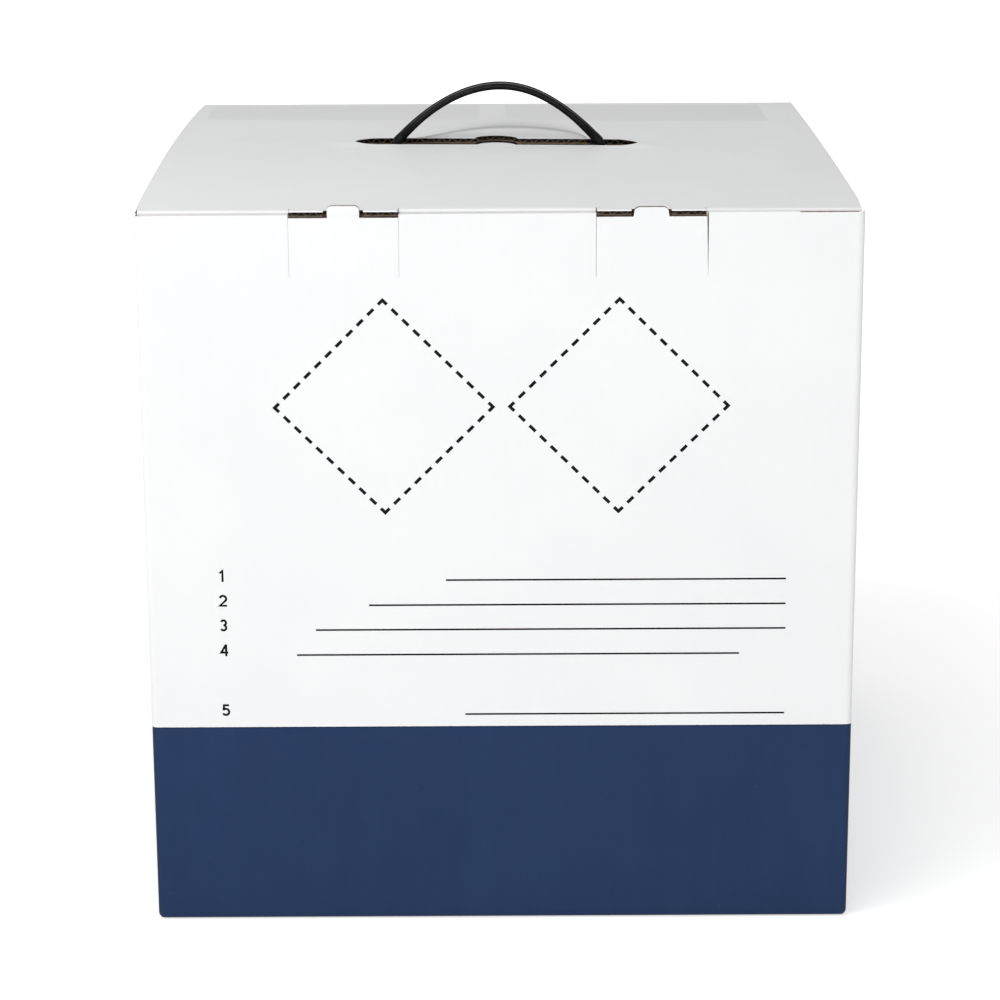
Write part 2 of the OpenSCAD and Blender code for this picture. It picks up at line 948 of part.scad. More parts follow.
module sample_tubes() {
    color("aliceblue")
        at_tubes()
            translate([0, 0, tube_z])
                rotate_extrude($fn = 32)
                    tube_section();
}

module tube_caps() {
    plug_h = 6;
    cap_gap = 0.1;
    color("orange")
        at_tubes()
            translate([0, 0, tube_z + tube_len - tube_d / 2]) {
                cylinder(d = cap_d, h = cap_h);
                translate([0, 0, -plug_h])
                    cylinder(r = tube_d / 2 - tube_wall - cap_gap, h = plug_h + e);
            }
}

front_wall();
rear_wall();
left_wall();
right_wall();
glue_flap();
bottom_front_flap();
bottom_rear_flap();
bottom_left_flap();
bottom_right_flap();
lid_panel();
tuck_flap();
dust_flap_left();
dust_flap_right();
lock_tab_left();
lock_tab_right();
carry_handle();
foam_box();
foam_lid();
document_pouch();
base_pad();
jar_bridge();
specimen_jar();
jar_seal();
jar_lid();
absorbent_sleeve();
tube_rack();
sample_tubes();
tube_caps();
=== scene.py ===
"""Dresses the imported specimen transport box.

Every board panel is built as corrugated board, with an outer liner, a fluted medium and an
inner liner, from the outline of its own CAD node. The other pieces keep their CAD shape or are
modelled here, and each gets a procedural finish. All lengths are metres in the row frame.
"""

import json
import logging
import math
from dataclasses import dataclass, field
from enum import Enum
from typing import Callable, Sequence

import bmesh
import bpy
import numpy as np
from mathutils import Matrix, Vector
from mathutils.geometry import delaunay_2d_cdt


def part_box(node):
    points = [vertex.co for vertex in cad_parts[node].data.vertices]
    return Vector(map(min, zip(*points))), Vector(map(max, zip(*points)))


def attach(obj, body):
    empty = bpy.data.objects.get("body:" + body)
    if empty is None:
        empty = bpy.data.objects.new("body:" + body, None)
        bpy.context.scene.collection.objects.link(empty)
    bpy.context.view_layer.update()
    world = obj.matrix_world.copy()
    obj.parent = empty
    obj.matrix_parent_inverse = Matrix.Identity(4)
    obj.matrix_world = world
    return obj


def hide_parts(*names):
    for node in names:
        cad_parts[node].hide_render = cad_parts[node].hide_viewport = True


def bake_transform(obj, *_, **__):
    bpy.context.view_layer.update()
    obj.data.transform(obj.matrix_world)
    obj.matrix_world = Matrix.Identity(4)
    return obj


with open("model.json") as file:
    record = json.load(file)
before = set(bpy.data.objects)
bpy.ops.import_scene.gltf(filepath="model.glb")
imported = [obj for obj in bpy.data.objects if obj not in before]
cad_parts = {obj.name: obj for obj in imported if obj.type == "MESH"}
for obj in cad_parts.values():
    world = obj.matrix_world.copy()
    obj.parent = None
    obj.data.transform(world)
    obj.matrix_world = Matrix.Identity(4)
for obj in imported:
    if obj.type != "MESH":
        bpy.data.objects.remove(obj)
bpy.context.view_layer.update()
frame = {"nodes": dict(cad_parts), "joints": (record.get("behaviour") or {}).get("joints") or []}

LOG = logging.getLogger("transport_box")
MM = 0.001
# Point attribute of painted shade: a grey arc behind the handle slot that stands in for the
# handle's shadow and the bent board's shading.
PAINTED_SHADE = "painted_shade"

Spot = tuple[float, float]
Point = tuple[float, float, float]
Colour = Point
Loop = list[Spot]
Place = Callable[[np.ndarray], np.ndarray]
Socket = bpy.types.NodeSocket
Piece = bpy.types.Object
Material = bpy.types.Material
WELD = 0.001 * MM
X_AXIS, Y_AXIS, Z_AXIS = Vector((1, 0, 0)), Vector((0, 1, 0)), Vector((0, 0, 1))


# ---- sizes from the frame


def low(node: str) -> Vector:
    """The lowest corner of a CAD node at rest."""
    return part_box(node)[0]


def high(node: str) -> Vector:
    """The highest corner of a CAD node at rest."""
    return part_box(node)[1]


def joint_place(name: str) -> Vector:
    """The point that a joint of the frame turns about."""
    found = next(j for j in frame["joints"] if j["name"] == name)
    return Vector(found["pos_m"])


@dataclass(frozen=True)
class BoxSizes:
    """Sizes that several pieces share, read from the frame once."""

    board: float = field(default_factory=lambda: high("right_wall").x - low("right_wall").x)
    half_w: float = field(default_factory=lambda: high("front_wall").x)
    half_d: float = field(default_factory=lambda: -low("front_wall").y)
    front_top: float = field(default_factory=lambda: high("front_wall").z)
    rear_top: float = field(default_factory=lambda: high("rear_wall").z)
    side_top: float = field(default_factory=lambda: high("right_wall").z)
    crown: float = field(default_factory=lambda: high("lid_panel").z)
    lid_half_w: float = field(default_factory=lambda: high("lid_panel").x)
    liner: float = 0.35 * MM
    medium: float = 0.25 * MM
    pitch: float = 7.6 * MM
    crease_gap: float = 0.3 * MM
    fold_half: float = 226.3 * MM
    band_top: float = 134.8 * MM
    edge_roll: float = 0.45 * MM
    raw_edge_start: float = 187 * MM

    @property
    def bead(self) -> float:
        """Radius of the round bead at a crease."""
        return self.board / 2

    @property
    def lead(self) -> float:
        """How far every board stops short of a crease's axis."""
        return self.bead + self.crease_gap

    @property
    def hinge(self) -> Vector:
        """A point on the lid's hinge line."""
        return joint_place("lid_hinge")

    @property
    def fold(self) -> Vector:
        """A point on the line of the lid's front fold."""
        return joint_place("tuck_fold")

    @property
    def fold_face(self) -> float:
        """Where the lid's front fold stands behind the front wall, in Y."""
        return self.fold.y - self.bead

    @property
    def lid_top(self) -> float:
        """Height of the lid's upper face at its front fold."""
        return self.hinge.z + self.bead


# ---- materials


class Nodes:
    """A node tree, built a node at a time."""

    def __init__(self, tree: bpy.types.NodeTree) -> None:
        """Takes up a tree."""
        self.tree = tree

    def node(self, kind: str, inputs: dict[str | int, object] | None = None,
             **settings: object) -> bpy.types.Node:
        """Adds a node.

        Args:
            kind: Blender's name of the node type.
            inputs: outputs to link and values to set, by the input's name or place.
            **settings: properties of the node.

        Returns:
            The new node.
        """
        made = self.tree.nodes.new(kind)
        for key, value in settings.items():
            setattr(made, key, value)
        for key, value in (inputs or {}).items():
            if isinstance(value, Socket):
                self.link(value, made.inputs[key])
            else:
                made.inputs[key].default_value = value
        return made

    def link(self, source: Socket, target: Socket) -> None:
        """Joins an output to an input."""
        self.tree.links.new(source, target)

    def math(self, operation: str, first: Socket | float, second: Socket | float = 0.0) -> Socket:
        """Adds a math node and returns its result."""
        return self.node("ShaderNodeMath", {0: first, 1: second}, operation=operation).outputs[0]

    def ramp(self, value: Socket, start: float, end: float,
             low_value: float = 0.0, high_value: float = 1.0) -> Socket:
        """Spreads a value's range from start to end over low_value to high_value.

        Args:
            value: the value.
            start: where its range starts.
            end: where its range ends.
            low_value: what it is at the start.
            high_value: what it is at the end.

        Returns:
            The spread value, held at both ends.
        """
        return self.node("ShaderNodeMapRange", {
            "From Min": start, "From Max": end, "To Min": low_value, "To Max": high_value,
            "Value": value}).outputs[0]

    def seen_directly(self) -> Socket:
        """A value of 1 for a ray from the camera, off a gloss or through glass, 0 for others.

        Returns:
            The value.
        """
        path = self.node("ShaderNodeLightPath").outputs
        shown = self.math("MAXIMUM", path["Is Camera Ray"], path["Is Glossy Ray"])
        return self.math("MAXIMUM", shown, path["Is Transmission Ray"])


class Shader(Nodes):
    """One procedural material on a Principled shader."""

    def __init__(self, name: str, colour: Colour, roughness: float) -> None:
        """Starts a material.

        Args:
            name: the material's name.
            colour: base colour, linear red, green and blue.
            roughness: roughness of the whole surface, unless a node is linked later.
        """
        self.material = bpy.data.materials.new(name)
        self.material.use_nodes = True
        super().__init__(self.material.node_tree)
        self.bsdf = self.tree.nodes["Principled BSDF"]
        self.set(Base_Color=(*colour, 1.0), Roughness=roughness)
        self.coords = self.node("ShaderNodeTexCoord").outputs["Object"]

    def set(self, **values: object) -> "Shader":
        """Sets constant values on the Principled shader's own sockets, underscores for spaces."""
        for key, value in values.items():
            self.bsdf.inputs[key.replace("_", " ")].default_value = value
        return self

    def axis(self, index: int) -> Socket:
        """One coordinate of the row frame at a point of the surface, in metres."""
        return self.node("ShaderNodeSeparateXYZ", {0: self.coords}).outputs[index]

    def stretched(self, scale: Sequence[float]) -> Socket:
        """The surface's coordinates, scaled along each axis."""
        return self.node("ShaderNodeMapping", {"Scale": scale, "Vector": self.coords}).outputs[0]

    def noise(self, scale: float, detail: float = 4.0, rough: float = 0.55,
              vector: Socket | None = None) -> Socket:
        """A noise value from 0 to 1."""
        return self.node("ShaderNodeTexNoise", {"Scale": scale, "Detail": detail,
                         "Roughness": rough, "Vector": vector or self.coords}).outputs[0]

    def cells(self, scale: float, feature: str = "DISTANCE_TO_EDGE",
              vector: Socket | None = None) -> Socket:
        """A cell pattern's distance, from 0 at a cell's edge or point."""
        return self.node("ShaderNodeTexVoronoi", {"Scale": scale, "Vector": vector or self.coords},
                         feature=feature).outputs["Distance"]

    def mix(self, factor: Socket, first: Colour | Socket, second: Colour | Socket) -> Socket:
        """Mixes two colours, on the mix node's inputs 6 and 7, and returns its output 2.

        Args:
            factor: share of the second colour.
            first: a colour, or an output that gives one.
            second: the other colour, likewise.

        Returns:
            The mixed colour.
        """
        first, second = (c if isinstance(c, Socket) else (*c, 1.0) for c in (first, second))
        return self.node("ShaderNodeMix", {0: factor, 6: first, 7: second},
                         data_type="RGBA").outputs[2]

    def colour(self, source: Socket) -> "Shader":
        """Links a colour to the shader."""
        self.link(source, self.bsdf.inputs["Base Color"])
        return self

    def roughness(self, source: Socket) -> "Shader":
        """Links a roughness to the shader."""
        self.link(source, self.bsdf.inputs["Roughness"])
        return self

    def bump(self, *heights: tuple[Socket, float]) -> "Shader":
        """Adds bump from several heights, each with its depth in metres.

        Args:
            *heights: pairs of a height and its depth in metres.

        Returns:
            This shader.
        """
        below: dict[str | int, object] = {}
        for height, depth in heights:
            made = self.node("ShaderNodeBump", {"Strength": 1.0, "Distance": depth,
                                                "Height": height, **below})
            below = {"Normal": made.outputs[0]}
        self.link(below["Normal"], self.bsdf.inputs["Normal"])
        return self


class Across(Enum):
    """The axis that crosses the flutes under a liner, which shows as faint washboarding."""

    X = 0
    Y = 1


@dataclass(frozen=True)
class CoatedLiner:
    """White coated outer liner with the navy band printed round the foot of the carton."""

    across: Across
    white: Colour = (0.895, 0.898, 0.902)
    shade: Colour = (0.865, 0.869, 0.876)
    navy: Colour = (0.0128, 0.0325, 0.0900)
    navy_light: Colour = (0.0162, 0.0384, 0.0995)
    # Deeper navy: pooled ink along the band's top edge, and painted shade along its upright folds
    # and its foot.
    pooled_ink_and_shade: Colour = (0.0050, 0.0130, 0.0400)
    rim: float = 1.1 * MM
    # Grey that the painted shade behind the handle slot turns the coating to.
    shade_grey: Colour = (0.360, 0.360, 0.362)

    def material(self, sizes: BoxSizes) -> Material:
        """Builds the finish.

        Args:
            sizes: the print band's height and the flutes' pitch.

        Returns:
            The material.
        """
        s = Shader(f"coated_liner_{self.across.name.lower()}", self.white, 0.5)
        mottle = s.ramp(s.noise(9.0, 6.0, 0.6), 0.35, 0.7)
        paper = s.mix(mottle, self.white, self.shade)
        # Painted shade: a point attribute greys the paper along the arc behind the handle slot,
        # standing in for the handle's shadow and the bent board's shading.
        painted_shade = s.node("ShaderNodeAttribute", attribute_name=PAINTED_SHADE).outputs["Fac"]
        paper = s.mix(painted_shade, paper, self.shade_grey)
        turns = 2 * math.pi / sizes.pitch
        washboard = s.math("SINE", s.math("MULTIPLY", s.axis(self.across.value), turns))
        streaks = s.noise(60.0, 5.0, 0.65, s.stretched((1.0, 1.0, 0.12)))
        cloud = s.noise(14.0, 5.0, 0.6)
        ink_tone = s.ramp(s.math("ADD", s.math("MULTIPLY", streaks, 0.5),
                                 s.math("MULTIPLY", cloud, 0.6)), 0.42, 0.72)
        ink = s.mix(ink_tone, self.navy, self.navy_light)
        pinholes = s.ramp(s.noise(900.0, 2.0, 0.5), 0.72, 0.80)
        ink = s.mix(s.math("MULTIPLY", pinholes, 0.10), ink, self.white)
        # The darker navy along the band's top edge is pooled ink. The darker navy along the upright
        # folds and the foot is painted shade.
        edge = s.math("ADD", s.axis(2), s.math("MULTIPLY", s.noise(700.0, 2.0), 0.25 * MM))
        in_band = s.math("LESS_THAN", edge, sizes.band_top)
        squeezed = s.ramp(edge, sizes.band_top - self.rim, sizes.band_top - self.rim / 2)
        reach = sizes.half_w if self.across is Across.X else sizes.half_d
        sideways = s.math("ABSOLUTE", s.axis(self.across.value))
        fold_shade = s.ramp(sideways, reach - 2 * self.rim, reach - self.rim)
        foot_shade = s.ramp(edge, 2 * self.rim, self.rim)
        rims = s.math("MAXIMUM", s.math("MAXIMUM", squeezed, fold_shade), foot_shade)
        ink = s.mix(s.math("MULTIPLY", rims, 0.8), ink, self.pooled_ink_and_shade)
        s.colour(s.mix(in_band, paper, ink))
        rough = s.ramp(s.noise(45.0, 5.0), 0.3, 0.7, 0.46, 0.56)
        s.roughness(s.math("SUBTRACT", rough, s.math("MULTIPLY", in_band, 0.06)))
        s.bump((washboard, 0.016 * MM),
               (s.noise(350.0, 6.0, 0.65), 0.05 * MM),
               (s.noise(6.0, 2.0), 0.5 * MM))
        return s.set(Specular_IOR_Level=0.12).material


@dataclass(frozen=True)
class KraftLiner:
    """Brown kraft paper with fibres and flecks."""

    name: str = "kraft_liner"
    base: Colour = (0.400, 0.262, 0.150)
    dark: Colour = (0.285, 0.178, 0.098)
    fleck: Colour = (0.130, 0.078, 0.045)

    def material(self) -> Material:
        """Builds the finish.

        Returns:
            The material.
        """
        s = Shader(self.name, self.base, 0.78)
        fibres = s.ramp(s.noise(260.0, 8.0, 0.7, s.stretched((1.0, 0.35, 0.35))), 0.35, 0.7)
        tone = s.mix(fibres, self.base, self.dark)
        flecks = s.ramp(s.noise(820.0, 3.0, 0.6), 0.66, 0.74)
        s.colour(s.mix(flecks, tone, self.fleck))
        s.bump((s.noise(900.0, 6.0, 0.7), 0.05 * MM), (fibres, 0.04 * MM))
        return s.material


@dataclass(frozen=True)
class PrintInk:
    """Flat printing ink, a little uneven where it sank into the paper."""

    name: str
    colour: Colour
    worn: Colour

    def material(self) -> Material:
        """Builds the finish.

        Returns:
            The material.
        """
        s = Shader(self.name, self.colour, 0.55)
        patches = s.ramp(s.noise(520.0, 5.0, 0.6), 0.55, 0.8)
        s.colour(s.mix(patches, self.colour, self.worn))
        s.bump((s.noise(350.0, 6.0, 0.65), 0.04 * MM))
        return s.set(Specular_IOR_Level=0.06).material


@dataclass(frozen=True)
class MouldedPlastic:
    """Moulded plastic with a fine grain, faint flow marks and rubbed patches."""

    name: str
    colour: Colour
    rubbed: Colour
    roughness: float = 0.36
    grain: float = 900.0
    grain_depth: float = 0.02 * MM
    clear: float = 0.0
    glow: float = 0.0
    gloss: float = 0.5
    patch: float = 38.0

    def material(self) -> Material:
        """Builds the finish.

        Returns:
            The material.
        """
        s = Shader(self.name, self.colour, self.roughness)
        patches = s.ramp(s.noise(self.patch, 6.0, 0.6), 0.45, 0.75)
        s.colour(s.mix(patches, self.colour, self.rubbed))
        s.roughness(s.ramp(s.noise(120.0, 6.0, 0.6), 0.3, 0.7,
                           self.roughness - 0.05, self.roughness + 0.09))
        s.bump((s.noise(self.grain, 4.0, 0.6), self.grain_depth),
               (s.noise(24.0, 3.0), 0.10 * MM))
        return s.set(Transmission_Weight=self.clear, Subsurface_Weight=self.glow,
                     Subsurface_Radius=(0.004, 0.003, 0.002),
                     Specular_IOR_Level=self.gloss).material


@dataclass(frozen=True)
class BeadFoam:
    """Expanded polystyrene: fused beads with darker seams between them."""

    name: str = "bead_foam"
    bead: Colour = (0.900, 0.912, 0.925)
    seam: Colour = (0.700, 0.720, 0.745)
    bead_size: float = 4.2 * MM
    warp: float = 1.2 * MM

    def material(self) -> Material:
        """Builds the finish.

        Returns:
            The material.
        """
        s = Shader(self.name, self.bead, 0.62)
        warped = {0: s.noise(90.0, 2.0), 1: (self.warp,) * 3, 2: s.coords}
        shift = s.node("ShaderNodeVectorMath", warped, operation="MULTIPLY_ADD")
        edges = s.cells(1.0 / self.bead_size, vector=shift.outputs[0])
        seam = s.ramp(edges, 0.0, 0.11, 1.0, 0.0)
        s.colour(s.mix(s.math("MULTIPLY", seam, 0.75), self.bead, self.seam))
        dome = s.ramp(edges, 0.0, 0.28)
        s.bump((dome, 0.22 * MM), (s.noise(1500.0, 3.0), 0.03 * MM))
        return s.set(Subsurface_Weight=0.12, Subsurface_Radius=(0.01, 0.01, 0.01)).material


@dataclass(frozen=True)
class WickingPaper:
    """Embossed absorbent tissue."""

    name: str = "wicking_paper"
    base: Colour = (0.88, 0.88, 0.86)
    dimple_shade: Colour = (0.78, 0.78, 0.76)

    def material(self) -> Material:
        """Builds the finish.

        Returns:
            The material.
        """
        s = Shader(self.name, self.base, 0.9)
        emboss = s.ramp(s.cells(260.0, "F1"), 0.1, 0.6)
        # Painted shade: the tissue is darker down in its embossed dimples.
        s.colour(s.mix(emboss, self.dimple_shade, self.base))
        s.bump((emboss, 0.25 * MM), (s.noise(900.0, 6.0), 0.08 * MM))
        return s.material


class Palette:
    """Every finish of the box, made once and handed to the pieces."""

    def __init__(self, sizes: BoxSizes) -> None:
        """Builds the materials.

        Args:
            sizes: the shared sizes, for the print band and the flutes.
        """
        self.liner_x = CoatedLiner(Across.X).material(sizes)
        self.liner_y = CoatedLiner(Across.Y).material(sizes)
        self.kraft = KraftLiner().material()
        # The cut edges' kraft is darker and greyer than the liner's. This is partly its own colour
        # and partly painted shade for the shadowed gap under the slot's cut edge.
        self.cut = KraftLiner("cut_edge_kraft_and_shade", (0.165, 0.126, 0.102),
                              (0.110, 0.083, 0.067), (0.055, 0.041, 0.033)).material()
        self.medium = KraftLiner("fluting_medium", (0.215, 0.166, 0.136),
                                 (0.150, 0.115, 0.094), (0.060, 0.045, 0.036)).material()
        self.ink = PrintInk("black_ink", (0.0050, 0.0050, 0.0056), (0.014, 0.014, 0.015)).material()
        self.tint = PrintInk("grey_tint", (0.838, 0.840, 0.842), (0.860, 0.862, 0.865)).material()
        self.paper = PrintInk("office_paper", (0.86, 0.86, 0.85), (0.80, 0.80, 0.79)).material()
        self.strap = MouldedPlastic("strap_plastic", (0.0028, 0.0028, 0.0029),
                                    (0.0110, 0.0110, 0.0112), 0.28, 500.0, 0.12 * MM,
                                    gloss=0.10, patch=300.0).material()
        self.foam = BeadFoam().material()
        self.jar = MouldedPlastic("jar_plastic", (0.80, 0.81, 0.79), (0.74, 0.75, 0.74),
                                  0.38, 500.0, 0.03 * MM, 0.12, 0.25).material()
        self.jar_lid = MouldedPlastic("jar_lid_plastic", (0.48, 0.012, 0.016),
                                      (0.56, 0.030, 0.032), 0.32).material()
        self.rubber = MouldedPlastic("seal_rubber", (0.020, 0.020, 0.021),
                                     (0.040, 0.040, 0.041), 0.7, 1200.0, 0.05 * MM).material()
        self.rack = MouldedPlastic("rack_foam", (0.055, 0.062, 0.072),
                                   (0.080, 0.088, 0.100), 0.85, 1300.0, 0.25 * MM).material()
        self.tube = MouldedPlastic("tube_plastic", (0.86, 0.90, 0.92), (0.82, 0.87, 0.90),
                                   0.12, 400.0, 0.01 * MM, 0.85).material()
        self.cap = MouldedPlastic("cap_plastic", (0.78, 0.40, 0.025), (0.84, 0.47, 0.05),
                                  0.36).material()
        self.film = MouldedPlastic("pouch_film", (0.93, 0.95, 0.96), (0.90, 0.93, 0.95),
                                   0.12, 90.0, 0.12 * MM, 0.94).material()
        self.absorbent = WickingPaper().material()


# ---- mesh building


@dataclass
class MeshParts:
    """Vertices and faces gathered for one piece, with a material number for each face."""

    points: list[np.ndarray] = field(default_factory=list)
    faces: list[tuple[int, ...]] = field(default_factory=list)
    marks: list[int] = field(default_factory=list)
    count: int = 0

    def add(self, points: np.ndarray, faces: Sequence[Sequence[int]],
            marks: int | Sequence[int] = 0) -> None:
        """Adds a piece of mesh.

        Args:
            points: an array of n by 3 coordinates.
            faces: faces as numbers into points.
            marks: material number of all the faces, or one for each.
        """
        self.points.append(np.asarray(points, float))
        self.faces += [tuple(i + self.count for i in f) for f in faces]
        self.marks += [marks] * len(faces) if isinstance(marks, int) else list(marks)
        self.count += len(points)

    def build(self, name: str, materials: Sequence[Material],
              smooth_angle: float = 32.0) -> Piece:
        """Makes the Blender object.

        Args:
            name: the piece's name.
            materials: its materials, in the order of the faces' numbers.
            smooth_angle: edges sharper than this many degrees stay sharp.

        Returns:
            The new object, linked into the scene.
        """
        mesh = bpy.data.meshes.new(name)
        mesh.from_pydata(np.vstack(self.points).tolist(), [], self.faces)
        for material in materials:
            mesh.materials.append(material)
        mesh.polygons.foreach_set("material_index", self.marks)
        mesh.polygons.foreach_set("use_smooth", [True] * len(mesh.polygons))
        mesh.validate()
        mesh.update()
        mesh.set_sharp_from_angle(angle=math.radians(smooth_angle))
        made = bpy.data.objects.new(name, mesh)
        bpy.context.scene.collection.objects.link(made)
        return made


def inside(points: np.ndarray, loops: Sequence[Loop]) -> np.ndarray:
    """Tells which points lie inside an outline with holes.

    Args:
        points: an array of n by 2 coordinates.
        loops: closed outlines, counter-clockwise, and their holes, clockwise.

    Returns:
        One true or false for each point.
    """
    turns = np.zeros(len(points), int)
    x, y = points[:, 0], points[:, 1]
    for loop in loops:
        a = np.array(loop)
        b = np.roll(a, -1, axis=0)
        for (x0, y0), (x1, y1) in zip(a, b):
            if y0 == y1:
                continue
            crosses = (y0 > y) != (y1 > y)
            hit = crosses & (x < (x1 - x0) * (y - y0) / (y1 - y0) + x0)
            turns += np.where(hit, 1 if y1 > y0 else -1, 0)
    return turns != 0


def triangulate(loops: Sequence[Loop], u_cuts: Sequence[float] = (),
                v_cuts: Sequence[float] = ()) -> tuple[np.ndarray, list[tuple[int, ...]]]:
    """Fills an outline with triangles whose edges follow the given cut lines.

    Args:
        loops: the outline and its holes.
        u_cuts: places of lines across the first axis.
        v_cuts: places of lines across the second axis.

    Returns:
        The points, n by 2, and the triangles, counter-clockwise.
    """
    spots: list[Vector] = []
    edges: list[tuple[int, int]] = []
    for loop in loops:
        start = len(spots)
        spots += [Vector(p) for p in loop]
        edges += [(start + i, start + (i + 1) % len(loop)) for i in range(len(loop))]
    every = np.array([p for loop in loops for p in loop])
    (u0, v0), (u1, v1) = every.min(0), every.max(0)
    for u in (c for c in u_cuts if u0 < c < u1):
        edges.append((len(spots), len(spots) + 1))
        spots += [Vector((u, v0)), Vector((u, v1))]
    for v in (c for c in v_cuts if v0 < c < v1):
        edges.append((len(spots), len(spots) + 1))
        spots += [Vector((u0, v)), Vector((u1, v))]
    found = delaunay_2d_cdt(spots, edges, [], 0, 1e-7)
    points = np.array([tuple(p) for p in found[0]])
    faces = [tuple(f) for f in found[2]]
    corners = np.array(faces)
    keep = inside(points[corners].mean(1), loops)
    a, b, c = (points[corners[:, i]] for i in range(3))
    area = (b[:, 0] - a[:, 0]) * (c[:, 1] - a[:, 1]) - (b[:, 1] - a[:, 1]) * (c[:, 0] - a[:, 0])
    kept = [f if s > 0 else f[::-1] for f, k, s in zip(faces, keep, area) if k and abs(s) > 1e-13]
    used = sorted({i for f in kept for i in f})
    number = {old: new for new, old in enumerate(used)}
    return points[used], [tuple(number[i] for i in f) for f in kept]


def border(faces: Sequence[Sequence[int]]) -> list[tuple[int, int]]:
    """The edges that only one face uses, in that face's direction.

    Args:
        faces: faces as point numbers.

    Returns:
        Pairs of point numbers.
    """
    uses: set[tuple[int, int]] = set()
    for f in (f for f in faces if len(set(f)) == len(f)):
        for i, a in enumerate(f):
            uses.add((a, f[(i + 1) % len(f)]))
    return [(a, b) for a, b in uses if (b, a) not in uses]


def add_loft(parts: MeshParts, rings: Sequence[Sequence[Sequence[float]]],
             mark: int = 0) -> None:
    """Adds a closed form that runs through rings of equal length and has flat ends.

    Args:
        parts: where the form goes.
        rings: its rings, each a list of points in the same turning direction.
        mark: its material number.
    """
    n, last = len(rings[0]), (len(rings) - 1) * len(rings[0])
    faces = [(r * n + i, r * n + (i + 1) % n, (r + 1) * n + (i + 1) % n, (r + 1) * n + i)
             for r in range(len(rings) - 1) for i in range(n)]
    faces += [tuple(range(n - 1, -1, -1)), tuple(last + i for i in range(n))]
    parts.add(np.array([p for ring in rings for p in ring]), faces, mark)


def add_shell(parts: MeshParts, points: np.ndarray, faces: Sequence[Sequence[int]],
              upper: np.ndarray | float, lower: np.ndarray | float, place: Place,
              marks: tuple[int, int, int] = (0, 0, 0)) -> None:
    """Adds a closed sheet between two depths.

    Args:
        parts: where the sheet goes.
        points: its plan, n by 2.
        faces: its triangles.
        upper: depth of its upper face, at each point or everywhere.
        lower: depth of its lower face, at each point or everywhere.
        place: turns plan and depth into places in the row frame.
        marks: material numbers of the upper face, the cut edge and the lower face.
    """
    n = len(points)
    top, bottom = (place(np.column_stack([points, np.broadcast_to(depth, n)]))
                   for depth in (upper, lower))
    sides = [(b, a, a + n, b + n) for a, b in border(faces)]
    shell = [tuple(f) for f in faces] + sides + [tuple(i + n for i in f[::-1]) for f in faces]
    numbers = [marks[0]] * len(faces) + [marks[1]] * len(sides) + [marks[2]] * len(faces)
    parts.add(np.vstack([top, bottom]), shell, numbers)


def node_mesh(node: str) -> tuple[bpy.types.Mesh, np.ndarray]:
    """A CAD node's mesh, its triangles ready, and its points.

    Args:
        node: the node's name.

    Returns:
        The mesh, and the points as an array of n by 3.
    """
    mesh = frame["nodes"][node].data
    mesh.calc_loop_triangles()
    return mesh, np.array([v.co for v in mesh.vertices], float)


def face_loops(mesh: bpy.types.Mesh, points: np.ndarray,
               wanted: Callable[[bpy.types.MeshLoopTriangle], bool]) -> list[Loop]:
    """Outlines some of a mesh's triangles.

    Args:
        mesh: the mesh, its triangles ready.
        points: its points, in axes whose first two are the outline's plan.
        wanted: tells whether a triangle belongs to the face.

    Returns:
        The outline's loops, the widest first.
    """
    first: dict[tuple[int, ...], int] = {}
    same = [first.setdefault(tuple(np.round(p / WELD).astype(int)), i)
            for i, p in enumerate(points)]
    faces = [[same[i] for i in t.vertices] for t in mesh.loop_triangles if wanted(t)]
    return chain(border(faces), points[:, :2])


@dataclass
class Plane:
    """A flat panel's own axes: across its flutes, along them, and out of its outer face."""

    across: Vector
    along: Vector

    @property
    def out(self) -> Vector:
        """The outer face's direction."""
        return self.across.cross(self.along)

    def loops(self, node: str, clear: float = 0.02 * MM) -> tuple[list[Loop], float]:
        """Reads a CAD node's outline on its outer face.

        Args:
            node: the node's name.
            clear: how far from the outermost plane a point may lie.

        Returns:
            The outline's loops in this plane's axes, and the outer face's height along out.
        """
        mesh, points = node_mesh(node)
        flat = points @ np.array([self.across, self.along, self.out], float).T
        level = flat[:, 2].max()
        return face_loops(mesh, flat, lambda t: all(level - flat[i, 2] < clear
                                                    for i in t.vertices)), level

    def placer(self, level: float) -> Place:
        """Makes the function that puts plan and depth points into the row frame.

        Args:
            level: the outer face's height along out.

        Returns:
            The function.
        """
        axes = np.array([self.across, self.along, -self.out], float)
        lift = np.array(self.out, float) * level

        def place(points: np.ndarray) -> np.ndarray:
            """Puts points into the row frame."""
            return points @ axes + lift
        return place


def chain(edges: Sequence[tuple[int, int]], flat: np.ndarray) -> list[Loop]:
    """Joins edges into closed loops and drops points on straight stretches.

    Args:
        edges: directed edges between point numbers.
        flat: the points' plan coordinates.

    Returns:
        The loops as lists of coordinates, the largest first.
    """
    follows = dict(edges)
    loops: list[Loop] = []
    while follows:
        start = next(iter(follows))
        ring = [start]
        while (nxt := follows.pop(ring[-1], start)) != start:
            ring.append(nxt)
        if len(ring) < 3:
            continue
        spots = flat[ring]
        back = spots - np.roll(spots, 1, axis=0)
        ahead = np.roll(spots, -1, axis=0) - spots
        turn = np.abs(back[:, 0] * ahead[:, 1] - back[:, 1] * ahead[:, 0])
        size = np.linalg.norm(back, axis=1) * np.linalg.norm(ahead, axis=1)
        loops.append([tuple(p) for p, t, s in zip(spots, turn, size) if t > 1e-4 * s])
    full = [loop for loop in loops if len(loop) > 2]
    return sorted(full, key=lambda p: -float(np.ptp(np.array(p)[:, 0])))


# ---- corrugated board


